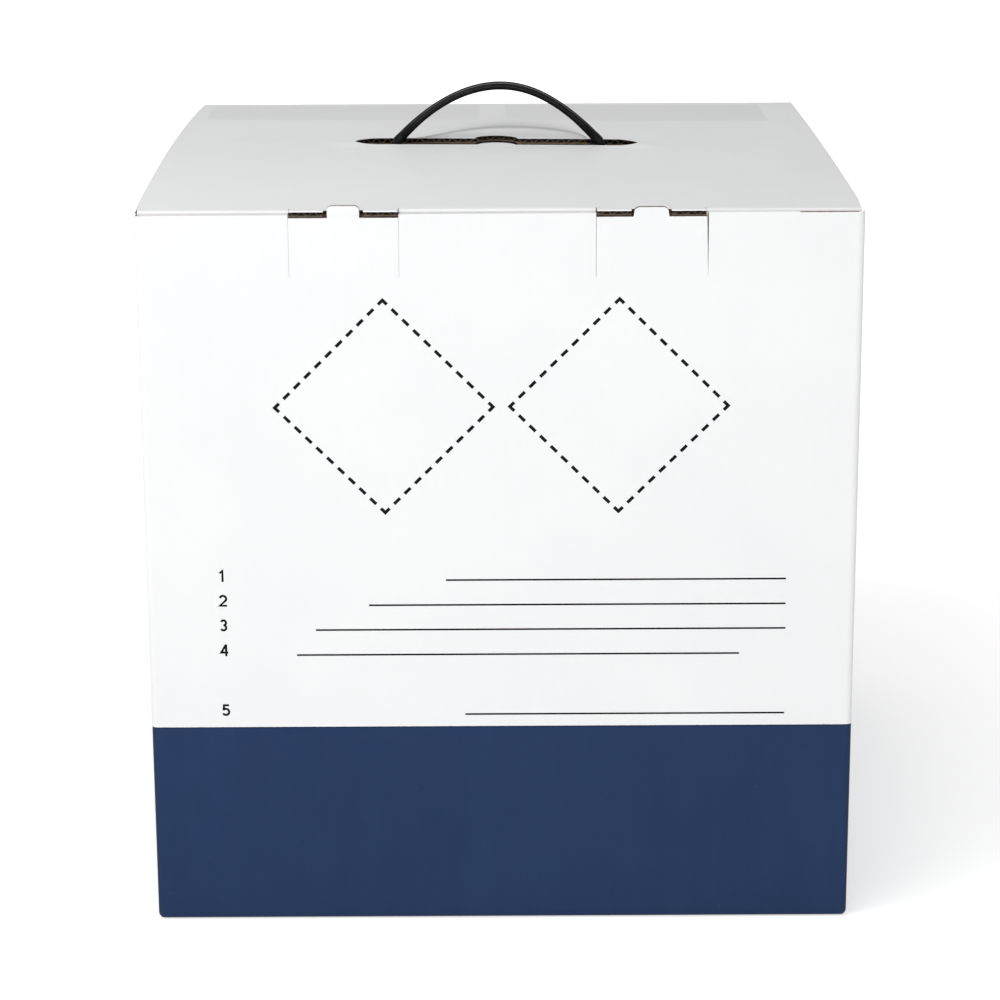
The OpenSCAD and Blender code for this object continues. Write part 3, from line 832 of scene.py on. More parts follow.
@dataclass
class Board:
    """A corrugated panel: outer liner, fluted medium and inner liner over one outline."""

    name: str
    body: str
    nodes: tuple[str, ...]
    loops: list[Loop]
    place: Place
    sizes: BoxSizes
    outer: Material
    palette: Palette
    u_cuts: Sequence[float] = ()
    v_cuts: Sequence[float] = ()
    core_cuts: Sequence[float] = ()
    edge_marks: tuple[int, int, int] = (0, 3, 2)
    # Painted shade on the outer liner: a share for each plan point, or None.
    painted_shade: Callable[[np.ndarray, np.ndarray], np.ndarray] | None = None

    def build(self) -> Piece:
        """Builds the panel, hides its CAD node and seats it on its body.

        Returns:
            The panel.
        """
        parts = MeshParts()
        t = self.sizes.board
        liner = self.sizes.liner
        points, faces = triangulate(self.loops, self.u_cuts, self.v_cuts)
        outer_edge, inner_edge, _ = self.edge_marks
        add_shell(parts, points, faces, 0.0, liner, self.place, (0, outer_edge, 1))
        add_shell(parts, points, faces, t - liner, t, self.place, (1, inner_edge, 1))
        self.add_medium(parts, t)
        made = parts.build(self.name, [self.outer, self.palette.kraft, self.palette.medium,
                                       self.palette.cut])
        # Stores the painted shade as a point attribute, which greys the coated liner.
        if self.painted_shade is not None:
            amount = np.zeros(len(made.data.vertices))
            amount[:len(points)] = self.painted_shade(*points.T)
            made.data.attributes.new(PAINTED_SHADE, "FLOAT", "POINT").data.foreach_set("value", amount)
        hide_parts(*self.nodes)
        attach(made, self.body)
        return made

    def add_medium(self, parts: MeshParts, t: float) -> None:
        """Adds the wave between the liners.

        Args:
            parts: the panel's mesh so far.
            t: the board's thickness.
        """
        steps = 8
        every = np.array([p for loop in self.loops for p in loop])
        step = self.sizes.pitch / steps
        first, last = (int(x / step) for x in (every[:, 0].min(), every[:, 0].max()))
        cuts = [i * step for i in range(first - 1, last + 2)]
        points, faces = triangulate(self.loops, cuts, self.core_cuts or self.v_cuts)
        swing = t / 2 - self.sizes.liner - self.sizes.medium / 2
        middle = t / 2 + swing * np.sin(2 * math.pi * points[:, 0] / self.sizes.pitch)
        half = self.sizes.medium / 2
        add_shell(parts, points, faces, middle - half, middle + half, self.place,
                  (2, self.edge_marks[2], 2))


@dataclass
class Strip:
    """A liner bent round a crease, between two panels that meet at an edge.

    The path lies in the plane across the crease and is given as points from the first
    panel to the second; the sheet's thickness goes to the left of that way.
    """

    path: list[Spot]
    spans: list[Spot]
    thickness: float
    mark: int
    steps: int = 1

    def add_to(self, parts: MeshParts, along: Across) -> None:
        """Adds the strip to a mesh.

        Args:
            parts: where it goes.
            along: the axis that the crease runs along.
        """
        line = np.array(self.path)
        step = np.gradient(line, axis=0)
        step /= np.linalg.norm(step, axis=1)[:, None]
        left = np.column_stack([-step[:, 1], step[:, 0]]) * self.thickness
        n, last = len(line), 2 * self.steps + 1
        for a, b in self.spans:
            stops = np.linspace(a, b, self.steps + 1)
            columns = [self._points(line, at, along) for at in stops]
            columns += [self._points(line + left, at, along) for at in stops[::-1]]
            faces, marks = [], []
            for k in range(last + 1):
                one, two = k * n, (k + 1) % (last + 1) * n
                faces += [(one + i, one + i + 1, two + i + 1, two + i) for i in range(n - 1)]
                marks += [self.mark if k < self.steps else 1] * (n - 1)
            for k in range(self.steps):
                near, far = (k * n, (k + 1) * n), ((last - k - 1) * n, (last - k) * n)
                faces += [(far[1], far[0], near[1], near[0]),
                          tuple(c + n - 1 for c in (*near, *far))]
                marks += [1, 1]
            parts.add(np.vstack(columns), faces, marks)

    @staticmethod
    def _points(ring: np.ndarray, at: float, along: Across) -> np.ndarray:
        """The ring's points at one place along the crease."""
        there = np.full(len(ring), at)
        if along is Across.X:
            return np.column_stack([there, ring[:, 0], ring[:, 1]])
        return np.column_stack([ring[:, 0], there, ring[:, 1]])


def arc(centre: Spot, radius: float, start: float, end: float, steps: int = 8) -> list[Spot]:
    """Points along an arc, its angles in degrees from the first axis to the second.

    Args:
        centre: the arc's centre.
        radius: its radius.
        start: its first angle.
        end: its last angle.
        steps: how many steps it has.

    Returns:
        The points.
    """
    return [(centre[0] + radius * math.cos(math.radians(start + (end - start) * i / steps)),
             centre[1] + radius * math.sin(math.radians(start + (end - start) * i / steps)))
            for i in range(steps + 1)]


def inner_cuts(start: float, end: float, count: int) -> list[float]:
    """Places that divide a stretch evenly into a number of parts, without its ends."""
    return [start + (end - start) * i / count for i in range(1, count)]


def dense(path: list[Spot], most: float) -> list[Spot]:
    """The same path with points added, so that no step is longer than the given length.

    Args:
        path: the path.
        most: the length.

    Returns:
        The fuller path.
    """
    full = [path[0]]
    for (x0, y0), (x1, y1) in zip(path, path[1:]):
        steps = max(1, math.ceil(math.hypot(x1 - x0, y1 - y0) / most))
        full += [(x0 + (x1 - x0) * i / steps, y0 + (y1 - y0) * i / steps)
                 for i in range(1, steps + 1)]
    return full


@dataclass
class Crease:
    """A creased fold between two boards: two liners bent round it, and the crushed medium inside.

    The outer and inner paths lie in the plane across the fold. They run from the edge of the
    board that carries the fold to the edge of the board that swings.
    """

    name: str
    carrier: str
    swinger: str
    along: Across
    axis: Vector
    outer: list[Spot]
    inner: list[Spot]
    side: int
    spans: list[Spot]
    sizes: BoxSizes
    palette: Palette
    outer_step: float = 0.5 * MM
    inner_steps: int = 10
    drop: Callable[[np.ndarray], np.ndarray] | None = None
    steps: int = 12
    inset: float = 0.0

    def build(self) -> list[Piece]:
        """Builds the two liners and the medium between them.

        Returns:
            The three pieces.
        """
        (x0, y0), (x1, y1) = self.inner[0], self.inner[-1]
        inner = dense(self.inner, math.hypot(x1 - x0, y1 - y0) / self.inner_steps)
        return [self.liner("outer", dense(self.outer, self.outer_step), self.side, 0),
                self.liner("inner", inner, -self.side, 1), self.core()]

    def liner(self, layer: str, path: list[Spot], side: int, mark: int) -> Piece:
        """Builds one liner.

        Args:
            layer: which of the two liners this is.
            path: its points across the fold.
            side: 1 if its thickness lies to the left of the path, else -1.
            mark: material number of its visible face.

        Returns:
            The piece.
        """
        parts = MeshParts()
        Strip(path, self.spans, side * self.sizes.liner, mark, self.steps).add_to(
            parts, self.along)
        self.lower(parts)
        finish = self.palette.liner_x if self.along is Across.X else self.palette.liner_y
        made = parts.build(f"{self.name}_{layer}",
                           [finish, self.palette.kraft if mark else finish], 60)
        fix_normals(made)
        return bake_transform(made, self.carrier, self.swinger,
                        start=self.at(path[0]), end=self.at(path[-1]))

    def lower(self, parts: MeshParts) -> None:
        """Lowers a piece's points by the fold's drop."""
        if self.drop is not None:
            spots = np.vstack(parts.points)
            spots[:, 2] += self.drop(spots[:, 0])
            parts.points = [spots]

    def at(self, spot: Spot, run: float = 0.0) -> Point:
        """A point of the plane across the fold, in the row frame, run metres along it."""
        if self.along is Across.X:
            return run, spot[0], spot[1]
        return spot[0], run, spot[1]

    def core(self) -> Piece:
        """Builds the crushed medium as a round bar on the fold's axis.

        Returns:
            The bar, which rides with the board that stays.
        """
        middle = (self.axis.y if self.along is Across.X else self.axis.x, self.axis.z)
        radius = self.sizes.bead - 1.3 * self.sizes.liner
        ring = arc(middle, radius, 0, 360, 14)[:-1]
        parts = MeshParts()
        for a, b in self.spans:
            add_loft(parts, [[self.at(p, run) for p in ring]
                             for run in np.linspace(a + self.inset, b - self.inset,
                                                    self.steps + 1)])
        self.lower(parts)
        made = parts.build(f"{self.name}_medium", [self.palette.medium], 50)
        fix_normals(made)
        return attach(made, self.carrier)


# ---- the carton


@dataclass(frozen=True)
class TabSet:
    """How one lock tab sits between its cuts after some use, in metres and shares."""

    widen_left: float = 0.36 * MM
    widen_right_foot: float = 0.36 * MM
    widen_right_top: float = 0.36 * MM
    push_left: float = 0.0
    push_right: float = 0.15 * MM
    tongue_height: float = 1.0
    tongue_foot: float = 1.0
    tongue_tip: float = 1.0
    cut_shift: float = 0.0
    edge_marks: tuple[int, int, int] = (0, 0, 0)


@dataclass(frozen=True)
class LidSet:
    """How the lid sits after some use: its twist, its lower fold and the lip at the slot."""

    level: float = -0.75 * MM
    twist: float = -0.0092
    fold_drop: Spot = (-0.65 * MM, -0.6 * MM)
    drop_run: Spot = (20 * MM, 120 * MM)
    front_left: float = 228.0 * MM
    front_right: float = 226.2 * MM
    bulge_right: Spot = (227.4 * MM, -200 * MM)
    lip_rise: float = 3.1 * MM
    lip_fade: Spot = (15 * MM, 65 * MM)
    lip_far: float = 54 * MM
    lip_middle: float = 8 * MM
    lip_half: Spot = (67 * MM, 54 * MM)
    lip_round: Spot = (1.4, 0.55)
    # Reach towards the slot, reach behind it and strength of the painted shade along the arc behind
    # the slot, which stands in for the handle's shadow.
    shade_near: float = 8 * MM
    shade_far: float = 27 * MM
    shade_peak: float = 0.9
    slot_middle: float = -1.5 * MM
    slot_half: float = 98.5 * MM
    slot_half_d: float = 7.5 * MM
    bay_gap: float = 3 * MM
    tip_run: float = 14 * MM
    tip_beyond: float = 25 * MM
    tip_near: float = 15 * MM
    burr: float = 0.4 * MM
    burr_run: float = 3 * MM


def smooth(share: np.ndarray) -> np.ndarray:
    """A soft step from 0 at 0 to 1 at 1."""
    held = np.clip(share, 0, 1)
    return held * held * (3 - 2 * held)


@dataclass
class Carton:
    """The outer carton: walls, bottom, flaps, lid and lock tabs."""

    sizes: BoxSizes
    palette: Palette
    lid_set: LidSet = LidSet()
    tabs: dict[str, TabSet] = field(default_factory=lambda: {
        "left": TabSet(),
        "right": TabSet(widen_left=0.25 * MM, widen_right_foot=1.54 * MM,
                        widen_right_top=0.7 * MM, push_left=0.25 * MM, push_right=0.9 * MM,
                        tongue_height=0.72, tongue_foot=1.12, tongue_tip=0.98,
                        cut_shift=1.2 * MM, edge_marks=(0, 3, 2))})
    cut_gap: float = 0.5 * MM
    rim_level: float = 0.3 * MM
    rim_slope: float = 0.003
    tooth_crush: float = 0.82
    tooth_rim: float = 0.9 * MM
    upward: float = 0.3
    film_gap: float = 0.1 * MM
    core_inset: float = 1.2 * MM
    arc_columns: tuple[float, ...] = (-0.4, 0.0, 0.4, 0.8, 1.2, 1.7, 2.3, 3.2, 4.2, 5.4)

    def build(self) -> list[Piece]:
        """Builds every board piece of the carton."""
        made = [self.wall(*row) for row in self.flat_rows()]
        made += [self.tab("left"), self.tab("right"), self.lid(), self.tooth_rims(),
                 self.corners(), dress("glue_flap", self.palette.kraft, "board_kraft")]
        return made + self.creases()

    def flat_rows(self) -> list[tuple]:
        """The flat panels: node, body, across the flutes, along them, outer finish.

        Returns:
            One row for each panel.
        """
        x, y, z = X_AXIS, Y_AXIS, Z_AXIS
        lean = math.radians(self.tuck_lean())
        down = Vector((0, -math.sin(lean), math.cos(lean)))
        px, py, kraft = self.palette.liner_x, self.palette.liner_y, self.palette.kraft
        return [
            ("front_wall", "carton", x, z, px),
            ("rear_wall", "carton", -x, z, px),
            ("left_wall", "carton", -y, z, py),
            ("right_wall", "carton", y, z, py),
            ("bottom_front_flap", "carton", x, -y, px),
            ("bottom_rear_flap", "carton", x, -y, px),
            ("bottom_left_flap", "carton", y, x, py),
            ("bottom_right_flap", "carton", y, x, py),
            ("dust_flap_left", "dust_left", -y, x, py),
            ("dust_flap_right", "dust_right", -y, x, py),
            ("tuck_flap", "tuck", x, down, px),
        ]

    def tuck_lean(self) -> float:
        """How far the tuck flap leans into the carton, in degrees, from its node's box."""
        box = high("tuck_flap") - low("tuck_flap")
        return math.degrees(math.asin((box.y - self.sizes.board) / box.z))

    def wall(self, node: str, body: str, across: Vector, along: Vector,
             outer: Material) -> Piece:
        """Builds one flat panel from its node's outer face.

        Args:
            node: the panel's CAD node.
            body: the body it rides on.
            across: the axis across its flutes.
            along: the axis along them.
            outer: the finish of its outer liner.

        Returns:
            The panel.
        """
        plane = Plane(across, along)
        loops, level = plane.loops(node)
        if node == "front_wall":
            rim = self.sizes.front_top - self.sizes.edge_roll
            cut = high("lock_tab_right").x + self.cut_gap
            shift = self.tabs["right"].cut_shift
            loops = [[(u + shift * (abs(u - cut) < self.cut_gap),
                       rim + self.rim_rise(u) if v > rim else v) for u, v in loop]
                     for loop in loops]
        if node.startswith("dust"):
            reach = abs(joint_place(node.replace("flap", "fold")).x) - self.sizes.lead
            loops = [[(u, min(max(v, -reach), reach)) for u, v in loop] for loop in loops]
        place, cuts = plane.placer(level), ()
        if node == "tuck_flap":
            place, cuts = self.dropped(place), [i * 15 * MM for i in range(-14, 15)]
        return Board(f"{node}_board", body, (node,), loops, place,
                     self.sizes, outer, self.palette, u_cuts=cuts).build()

    def dropped(self, place: Place) -> Place:
        """Lowers what a placer returns by the front fold's drop.

        Args:
            place: the placer.

        Returns:
            The lowered placer.
        """

        def lowered(points: np.ndarray) -> np.ndarray:
            """Puts points into the row frame, as low as the fold that carries them."""
            spots = place(points)
            spots[:, 2] += self.fold_drop(spots[:, 0])
            return spots
        return lowered

    def rim_rise(self, x: float) -> float:
        """How far the front wall's top edge stands above its CAD height, at a place along it."""
        return self.rim_level + self.rim_slope * x

    def tab(self, side: str) -> Piece:
        """Builds a lock tab as its TabSet says.

        Args:
            side: left or right.

        Returns:
            The tab.
        """
        s, node, fit = self.sizes, f"lock_tab_{side}", self.tabs[side]
        plane = Plane(X_AXIS, Z_AXIS)
        loops, level = plane.loops(node)
        left, right = low(node).x, high(node).x
        foot = joint_place(f"tab_fold_{side}").z + s.lead
        middle, shoulder = (left + right) / 2, (right - left) / 4

        def fitted(u: float, v: float) -> Spot:
            """Widens the body towards its cuts, shapes its tongue and lifts its foot."""
            rise = min(max((v - foot) / (s.front_top - foot), 0), 1)
            if abs(u - middle) < shoulder:
                share = min(max((v - s.front_top) / (high(node).z - s.front_top), 0), 1)
                wide = fit.tongue_foot + (fit.tongue_tip - fit.tongue_foot) * share
                above = max(v - s.front_top, 0)
                return (middle + (u - middle) * wide,
                        max(v, foot) + above * (fit.tongue_height - 1))
            if u < middle:
                return u - fit.widen_left, max(v, foot)
            wide = fit.widen_right_foot + (fit.widen_right_top - fit.widen_right_foot) * rise
            return u + wide, max(v, foot)

        place = plane.placer(level)

        def pushed(points: np.ndarray) -> np.ndarray:
            """Puts the tab into the row frame, its upper part leaning into the carton."""
            x, z, _ = points.T
            across = np.clip((x - left) / (right - left), 0, 1)
            spots = place(points)
            push = fit.push_left + (fit.push_right - fit.push_left) * across
            spots[:, 1] += push * smooth((z - foot) / (s.front_top - foot))
            return spots
        return Board(f"{node}_board", f"tab_{side}", (node,), [[fitted(*p) for p in loops[0]]],
                     pushed, s, self.palette.liner_x, self.palette,
                     u_cuts=inner_cuts(left, right, 10),
                     v_cuts=inner_cuts(foot, s.front_top, 6),
                     edge_marks=fit.edge_marks).build()

    def arch(self) -> Point:
        """Centre, in Y and Z, and radius of the lid's bowed upper face."""
        s = self.sizes
        middle = (s.fold_face + s.hinge.y) / 2
        half = (s.hinge.y - s.fold_face) / 2
        bow = s.crown - s.lid_top
        radius = (half * half + bow * bow) / (2 * bow)
        return middle, s.crown - radius, radius

    def lid_place(self, points: np.ndarray) -> np.ndarray:
        """Puts the lid's plan and depth points on the arch, as the LidSet says.

        Args:
            points: plan and depth, n by 3.

        Returns:
            Their places, n by 3.
        """
        middle, centre, radius = self.arch()
        x, y, depth = points.T
        turn = np.arcsin(np.clip((y - middle) / radius, -1, 1))
        r = radius - depth
        tooth = y < self.sizes.fold_face
        out_y = np.where(tooth, y, middle + r * np.sin(turn))
        crushed = self.sizes.lid_top - depth * self.tooth_crush
        out_z = np.where(tooth, crushed, centre + r * np.cos(turn))
        return np.column_stack([x, out_y, out_z + self.sag(x, y) + self.lip(x, y)])

    def sag(self, x: np.ndarray, y: np.ndarray) -> np.ndarray:
        """How far the twisted lid stands above its CAD arch, mostly below it, at its points.

        Args:
            x: places across.
            y: places front to back.

        Returns:
            Heights in metres.
        """
        fit, s = self.lid_set, self.sizes
        middle, half = (s.fold.y + s.hinge.y) / 2, (s.hinge.y - s.fold.y) / 2
        bow = np.clip(1 - ((y - middle) / half) ** 2, 0, 1)
        near = np.clip((s.hinge.y - y) / (2 * half), 0, 1)
        return (fit.level + fit.twist * x) * bow + self.fold_drop(x) * near

    def fold_drop(self, x: np.ndarray) -> np.ndarray:
        """How far the lid's front fold lies below its CAD height at places along it."""
        fit = self.lid_set
        start, run = fit.drop_run
        most = np.where(np.asarray(x) < 0, *fit.fold_drop)
        return most * smooth((np.abs(x) - start) / run)

    def lip_side(self, x: np.ndarray) -> np.ndarray:
        """How far back the pulled-up board reaches at places along the slot, from 0 to 1.

        Args:
            x: the places.

        Returns:
            The shares.
        """
        fit = self.lid_set
        right = x > fit.lip_middle
        u = (x - fit.lip_middle) / np.where(right, fit.lip_half[1], fit.lip_half[0])
        return np.clip(1 - u * u, 0, 1) ** np.where(right, fit.lip_round[1], fit.lip_round[0])

    def lip(self, x: np.ndarray, y: np.ndarray) -> np.ndarray:
        """How far the board round the slot is pulled up, and the burrs along the slot.

        Args:
            x: places across.
            y: places front to back.

        Returns:
            Heights in metres.
        """
        fit = self.lid_set
        slot_y = joint_place("handle_swing").y
        rear, front = slot_y + fit.slot_half_d, slot_y - fit.slot_half_d
        side = self.lip_side(x)
        past = (y - rear - fit.lip_far * side) / (fit.lip_fade[0] + fit.lip_fade[1] * side)
        plateau = (1 - np.clip(past, 0, 1)) ** 2
        along = np.abs(x - fit.slot_middle) - fit.slot_half
        tip = smooth(along / fit.tip_run + 1)
        beyond = 1 - smooth(along / fit.tip_beyond)
        split = rear - fit.bay_gap * (1 - tip) - fit.slot_half_d * tip
        pulled = plateau * (1 - tip / 2)
        pushed = tip / 2 * (1 - smooth((front - y) / fit.tip_near))
        behind = y > split
        lift = fit.lip_rise * beyond * np.where(behind, pulled, pushed)
        rolled = smooth(1 - (y - rear) / fit.burr_run) * np.where(behind, -1, 0)
        raised = smooth(1 - (front - y) / fit.burr_run) * np.where(behind, 0, 1)
        return lift + fit.burr * (1 - tip) * (rolled + raised)

    def arc_shade(self, x: np.ndarray, y: np.ndarray) -> np.ndarray:
        """How much painted shade greys the coating along the arc behind the slot, from 0 to 1. It
        stands in for the handle's shadow and the shading where the board bends.

        Args:
            x: places across.
            y: places front to back.

        Returns:
            The shares.
        """
        fit = self.lid_set
        side = self.lip_side(x)
        off = y - joint_place("handle_swing").y - fit.slot_half_d - fit.lip_far * side
        reach = np.where(off < 0, fit.shade_near, fit.shade_far * (0.3 + 0.7 * side))
        within = smooth(side / 0.15)
        return fit.shade_peak * within * np.exp(-np.where(off < 0, off * off / reach, off) / reach)

    def lid(self) -> Piece:
        """Builds the bowed lid with its teeth and its handle slot.

        Returns:
            The lid.
        """
        s = self.sizes
        mesh, points = node_mesh("lid_panel")
        floor = s.lid_top - s.bead
        loops = face_loops(mesh, points, lambda t: (t.normal.z > self.upward and
                                                    points[list(t.vertices), 2].min() > floor))
        tips = self.tooth_ends()
        front, rear = s.fold.y + s.lead, s.hinge.y - s.lead
        end = low("lid_panel").y + s.liner
        outline = [(-s.lid_half_w, rear), (-self.lid_set.front_left, front)]
        for left, near, far, right in (tips[:4], tips[4:]):
            outline += [(left, front), (left, end), (near, end), (near, s.fold_face),
                        (far, s.fold_face), (far, end), (right, end), (right, front)]
        outline += [(self.lid_set.front_right, front), self.lid_set.bulge_right,
                    (s.lid_half_w, rear)]
        slot = max((p for p in loops if np.ptp(np.array(p)[:, 0]) < s.half_w), key=len)
        columns, rows, core_rows = self.lid_grid()
        # The lid's outer liner carries painted shade along the arc behind the slot.
        return Board("lid_panel_board", "lid", ("lid_panel",), [outline, slot],
                     self.lid_place, s, self.palette.liner_x, self.palette,
                     u_cuts=columns, v_cuts=rows, core_cuts=core_rows, painted_shade=self.arc_shade).build()

    def tooth_ends(self) -> list[float]:
        """Reads where the lid's teeth begin and end along the fold.

        Returns:
            Two places for each tooth, in X, from left to right.
        """
        _, points = node_mesh("lid_panel")
        front, top = low("lid_panel").y + self.film_gap, self.sizes.lid_top - self.film_gap
        return sorted({round(float(x), 5) for x, y, z in points if y < front and z > top})

    def lid_grid(self) -> tuple[list[float], list[float], list[float]]:
        """Places the lid's cut lines, close together where its surface bends most.

        The fluted medium has fewer rows than the liners. They are close enough together for
        its waves to stay between the liners where the board is pulled up.

        Returns:
            The columns, the rows of the liners, and the rows of the medium.
        """
        fit, slot_y = self.lid_set, joint_place("handle_swing").y
        even = [self.sizes.fold.y + i * 11.7 * MM for i in range(1, 40)]
        burrs = [slot_y + side * (7.5 + i * 0.9) * MM for side in (-1, 1) for i in range(1, 5)]
        behind = [slot_y + (12 + 3 * i) * MM for i in range(28)]
        before = [slot_y - (12 + 3 * i) * MM for i in range(6)]
        arc_end = fit.lip_middle + fit.lip_half[1]
        columns = [i * 5 * MM for i in range(-25, 26)]
        columns += [arc_end - back * MM for back in self.arc_columns]
        return (columns, even + burrs + behind + before,
                even[1::3] + burrs + behind[::2] + before)

    def tooth_rims(self) -> Piece:
        """Builds the outer liner that the die rolled over the tip of each tooth.

        Returns:
            The rims of all four teeth, as one piece.
        """
        s = self.sizes
        parts = MeshParts()
        tip, top, r = low("lid_panel").y, s.lid_top, s.edge_roll
        path = [(tip, top - self.tooth_rim)] + arc((tip + r, top - r), r, 180, 90, 4)
        path += [(tip + 3 * r, top)]
        tips = self.tooth_ends()
        Strip(path, list(zip(tips[::2], tips[1::2])), -s.liner, 0).add_to(parts, Across.X)
        made = parts.build("tooth_rims", [self.palette.liner_x, self.palette.liner_x], 50)
        fix_normals(made)
        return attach(made, "lid")

    def corners(self) -> Piece:
        """Builds the liners that bend round the carton's fixed upright and bottom edges.

        Returns:
            The liners, as one piece.
        """
        s = self.sizes
        parts = MeshParts()
        r, t = s.board, s.liner
        inner_x, inner_y = s.half_w - r, s.half_d - r
        steps = 8
        for sx in (-1, 1):
            for sy in (-1, 1):
                top = s.front_top + self.rim_rise(sx * s.half_w) if sy < 0 else s.rear_top
                rings = []
                for radius in (r, r - t):
                    for z in (r, top):
                        rings.append([(sx * (inner_x + radius * math.sin(math.pi / 2 * i / steps)),
                                       sy * (inner_y + radius * math.cos(math.pi / 2 * i / steps)),
                                       z) for i in range(steps + 1)])
                self.add_bar(parts, rings)
        for along, across, end, z in ((Across.X, inner_y, inner_x, r),
                                      (Across.Y, inner_x, inner_y, 2 * r)):
            for side, turn in ((-1, (180, 270)), (1, (0, -90))):
                path = arc((side * across, z), r, *turn)
                Strip(path[::-side], [(-end, end)], t, 0).add_to(parts, along)
        self.add_foot_corners(parts)
        self.roll_front_edge(parts)
        made = parts.build("carton_edge_liner", [self.palette.liner_x, self.palette.kraft], 50)
        fix_normals(made)
        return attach(made, "carton")

    def add_foot_corners(self, parts: MeshParts) -> None:
        """Adds the rounded liner where three walls meet at each foot corner.

        Args:
            parts: where the corners go.
        """
        s = self.sizes
        cuts = inner_cuts(0.0, 1.0, 6)
        square = [(0.0, 0.0), (1.0, 0.0), (1.0, 1.0), (0.0, 1.0)]
        for sx in (-1, 1):
            for sy in (-1, 1):
                centre = (sx * (s.half_w - s.board), sy * (s.half_d - s.board), s.board)

                def place(points: np.ndarray) -> np.ndarray:
                    """Puts turn, dip and depth onto the corner's ball."""
                    turn, dip = points[:, 0] * math.pi / 2, points[:, 1] * math.pi / 2
                    r = s.board - points[:, 2]
                    return np.column_stack([sx * r * np.cos(turn) * np.cos(dip),
                                            sy * r * np.sin(turn) * np.cos(dip),
                                            -r * np.sin(dip)]) + centre
                add_shell(parts, *triangulate([square], cuts, cuts), 0.0, s.liner, place,
                          (0, 1, 1))

    def roll_front_edge(self, parts: MeshParts) -> None:
        """Adds the outer liner that the cutting die rolled over the front wall's top edge.

        Args:
            parts: where the liner goes.
        """
        s = self.sizes
        front, top, r = -s.half_d, s.front_top, s.edge_roll
        path = arc((front + r, top - r), r, 180, 90, 4) + [(front + s.board, top)]
        spans = self.between_tabs(s.half_w - s.board)
        spans[-1] = (spans[-1][0] + self.tabs["right"].cut_shift, s.raw_edge_start)
        rolled = MeshParts()
        Strip(path, spans, -s.liner, 0).add_to(rolled, Across.X)
        spots = np.vstack(rolled.points)
        spots[:, 2] += self.rim_rise(spots[:, 0])
        parts.add(spots, rolled.faces, rolled.marks)

    def between_tabs(self, end: float) -> list[Spot]:
        """Finds the stretches of the front's upper edge that the lock tabs leave free.

        Args:
            end: how far from the middle the outer stretches reach.

        Returns:
            Three stretches, in X, from left to right.
        """
        gap = self.cut_gap
        return [(-end, low("lock_tab_left").x - gap),
                (high("lock_tab_left").x + gap, low("lock_tab_right").x - gap),
                (high("lock_tab_right").x + gap, end)]

    @staticmethod
    def add_bar(parts: MeshParts, rings: list[list[Point]]) -> None:
        """Adds a bent bar from four lines: outer low, outer high, inner low, inner high.

        Args:
            parts: where the bar goes.
            rings: the four lines, of equal length.
        """
        n = len(rings[0])
        order = (0, 1, 3, 2)
        faces = []
        for k in range(4):
            a, b = order[k] * n, order[(k + 1) % 4] * n
            faces += [(a + i, b + i, b + i + 1, a + i + 1) for i in range(n - 1)]
        faces += [tuple(order[k] * n for k in (3, 2, 1, 0)),
                  tuple(order[k] * n + n - 1 for k in range(4))]
        marks = [0] * (n - 1) + [1] * (len(faces) - n + 1)
        parts.add(np.array([p for ring in rings for p in ring]), faces, marks)

    def creases(self) -> list[Piece]:
        """Builds every fold between a board that stays and one that swings."""
        rows = [self.lid_crease(), self.tuck_crease(), self.dust_crease(-1),
                self.dust_crease(1), self.tab_crease("left"), self.tab_crease("right")]
        return [piece for crease in rows for piece in crease.build()]

    def arch_height(self, y: float) -> float:
        """Height of the lid's upper face at a place between its two folds."""
        middle, centre, radius = self.arch()
        return centre + math.sqrt(radius ** 2 - (y - middle) ** 2)

    def lid_crease(self) -> Crease:
        """The fold between the rear wall and the lid.

        Returns:
            The fold.
        """
        s = self.sizes
        y, z, b, t = s.hinge.y, s.hinge.z, s.bead, s.board
        end = (y - s.lead, self.arch_height(y - s.lead))
        outer = [(y + b, s.rear_top), (y + b, z)] + arc((y, z), b, 0, 90) + [end]
        inner = [(y + b - t, s.rear_top), (end[0], end[1] - t)]
        return Crease("lid_crease", "carton", "lid", Across.X, s.hinge, outer, inner, 1,
                      [(-s.fold_half, s.fold_half)], s, self.palette)

    def tuck_crease(self) -> Crease:
        """The fold between the lid and its tuck flap, which leans into the carton.

        Returns:
            The fold.
        """
        s = self.sizes
        y, z, b, t = s.fold.y, s.fold.z, s.bead, s.board
        lean = math.radians(self.tuck_lean())
        cos, sin = math.cos(lean), math.sin(lean)
        start = (y + s.lead, self.arch_height(y + s.lead))

        def hung(out: float) -> Spot:
            """The flap's upper edge, out metres in front of the fold's axis."""
            return y - out * cos + s.lead * sin, z - out * sin - s.lead * cos
        outer = [start] + arc((y, z), b, 90, 180 + math.degrees(lean)) + [hung(b)]
        inner = [(start[0], start[1] - t), hung(b - t)]
        return Crease("tuck_crease", "lid", "tuck", Across.X, s.fold, outer, inner, 1,
                      self.between_tabs(s.fold_half), s, self.palette, drop=self.fold_drop,
                      inset=self.core_inset)

    def dust_crease(self, side: int) -> Crease:
        """The fold between a side wall and its dust flap.

        Args:
            side: -1 for the left one, 1 for the right one.

        Returns:
            The fold.
        """
        s = self.sizes
        name = "left" if side < 0 else "right"
        axis = joint_place(f"dust_fold_{name}")
        x, z, b = axis.x, axis.z, s.bead
        turn = (0, 90) if side > 0 else (180, 90)
        outer = [(x + side * b, s.side_top), (x + side * b, z)]
        outer += arc((x, z), b, *turn) + [(x - side * s.lead, z + b)]
        inner = [(x - side * b, s.side_top), (x - side * s.lead, z - b)]
        span = (low(f"dust_flap_{name}").y, high(f"dust_flap_{name}").y)
        return Crease(f"dust_crease_{name}", "carton", f"dust_{name}", Across.Y, axis,
                      outer, inner, side, [span], s, self.palette)

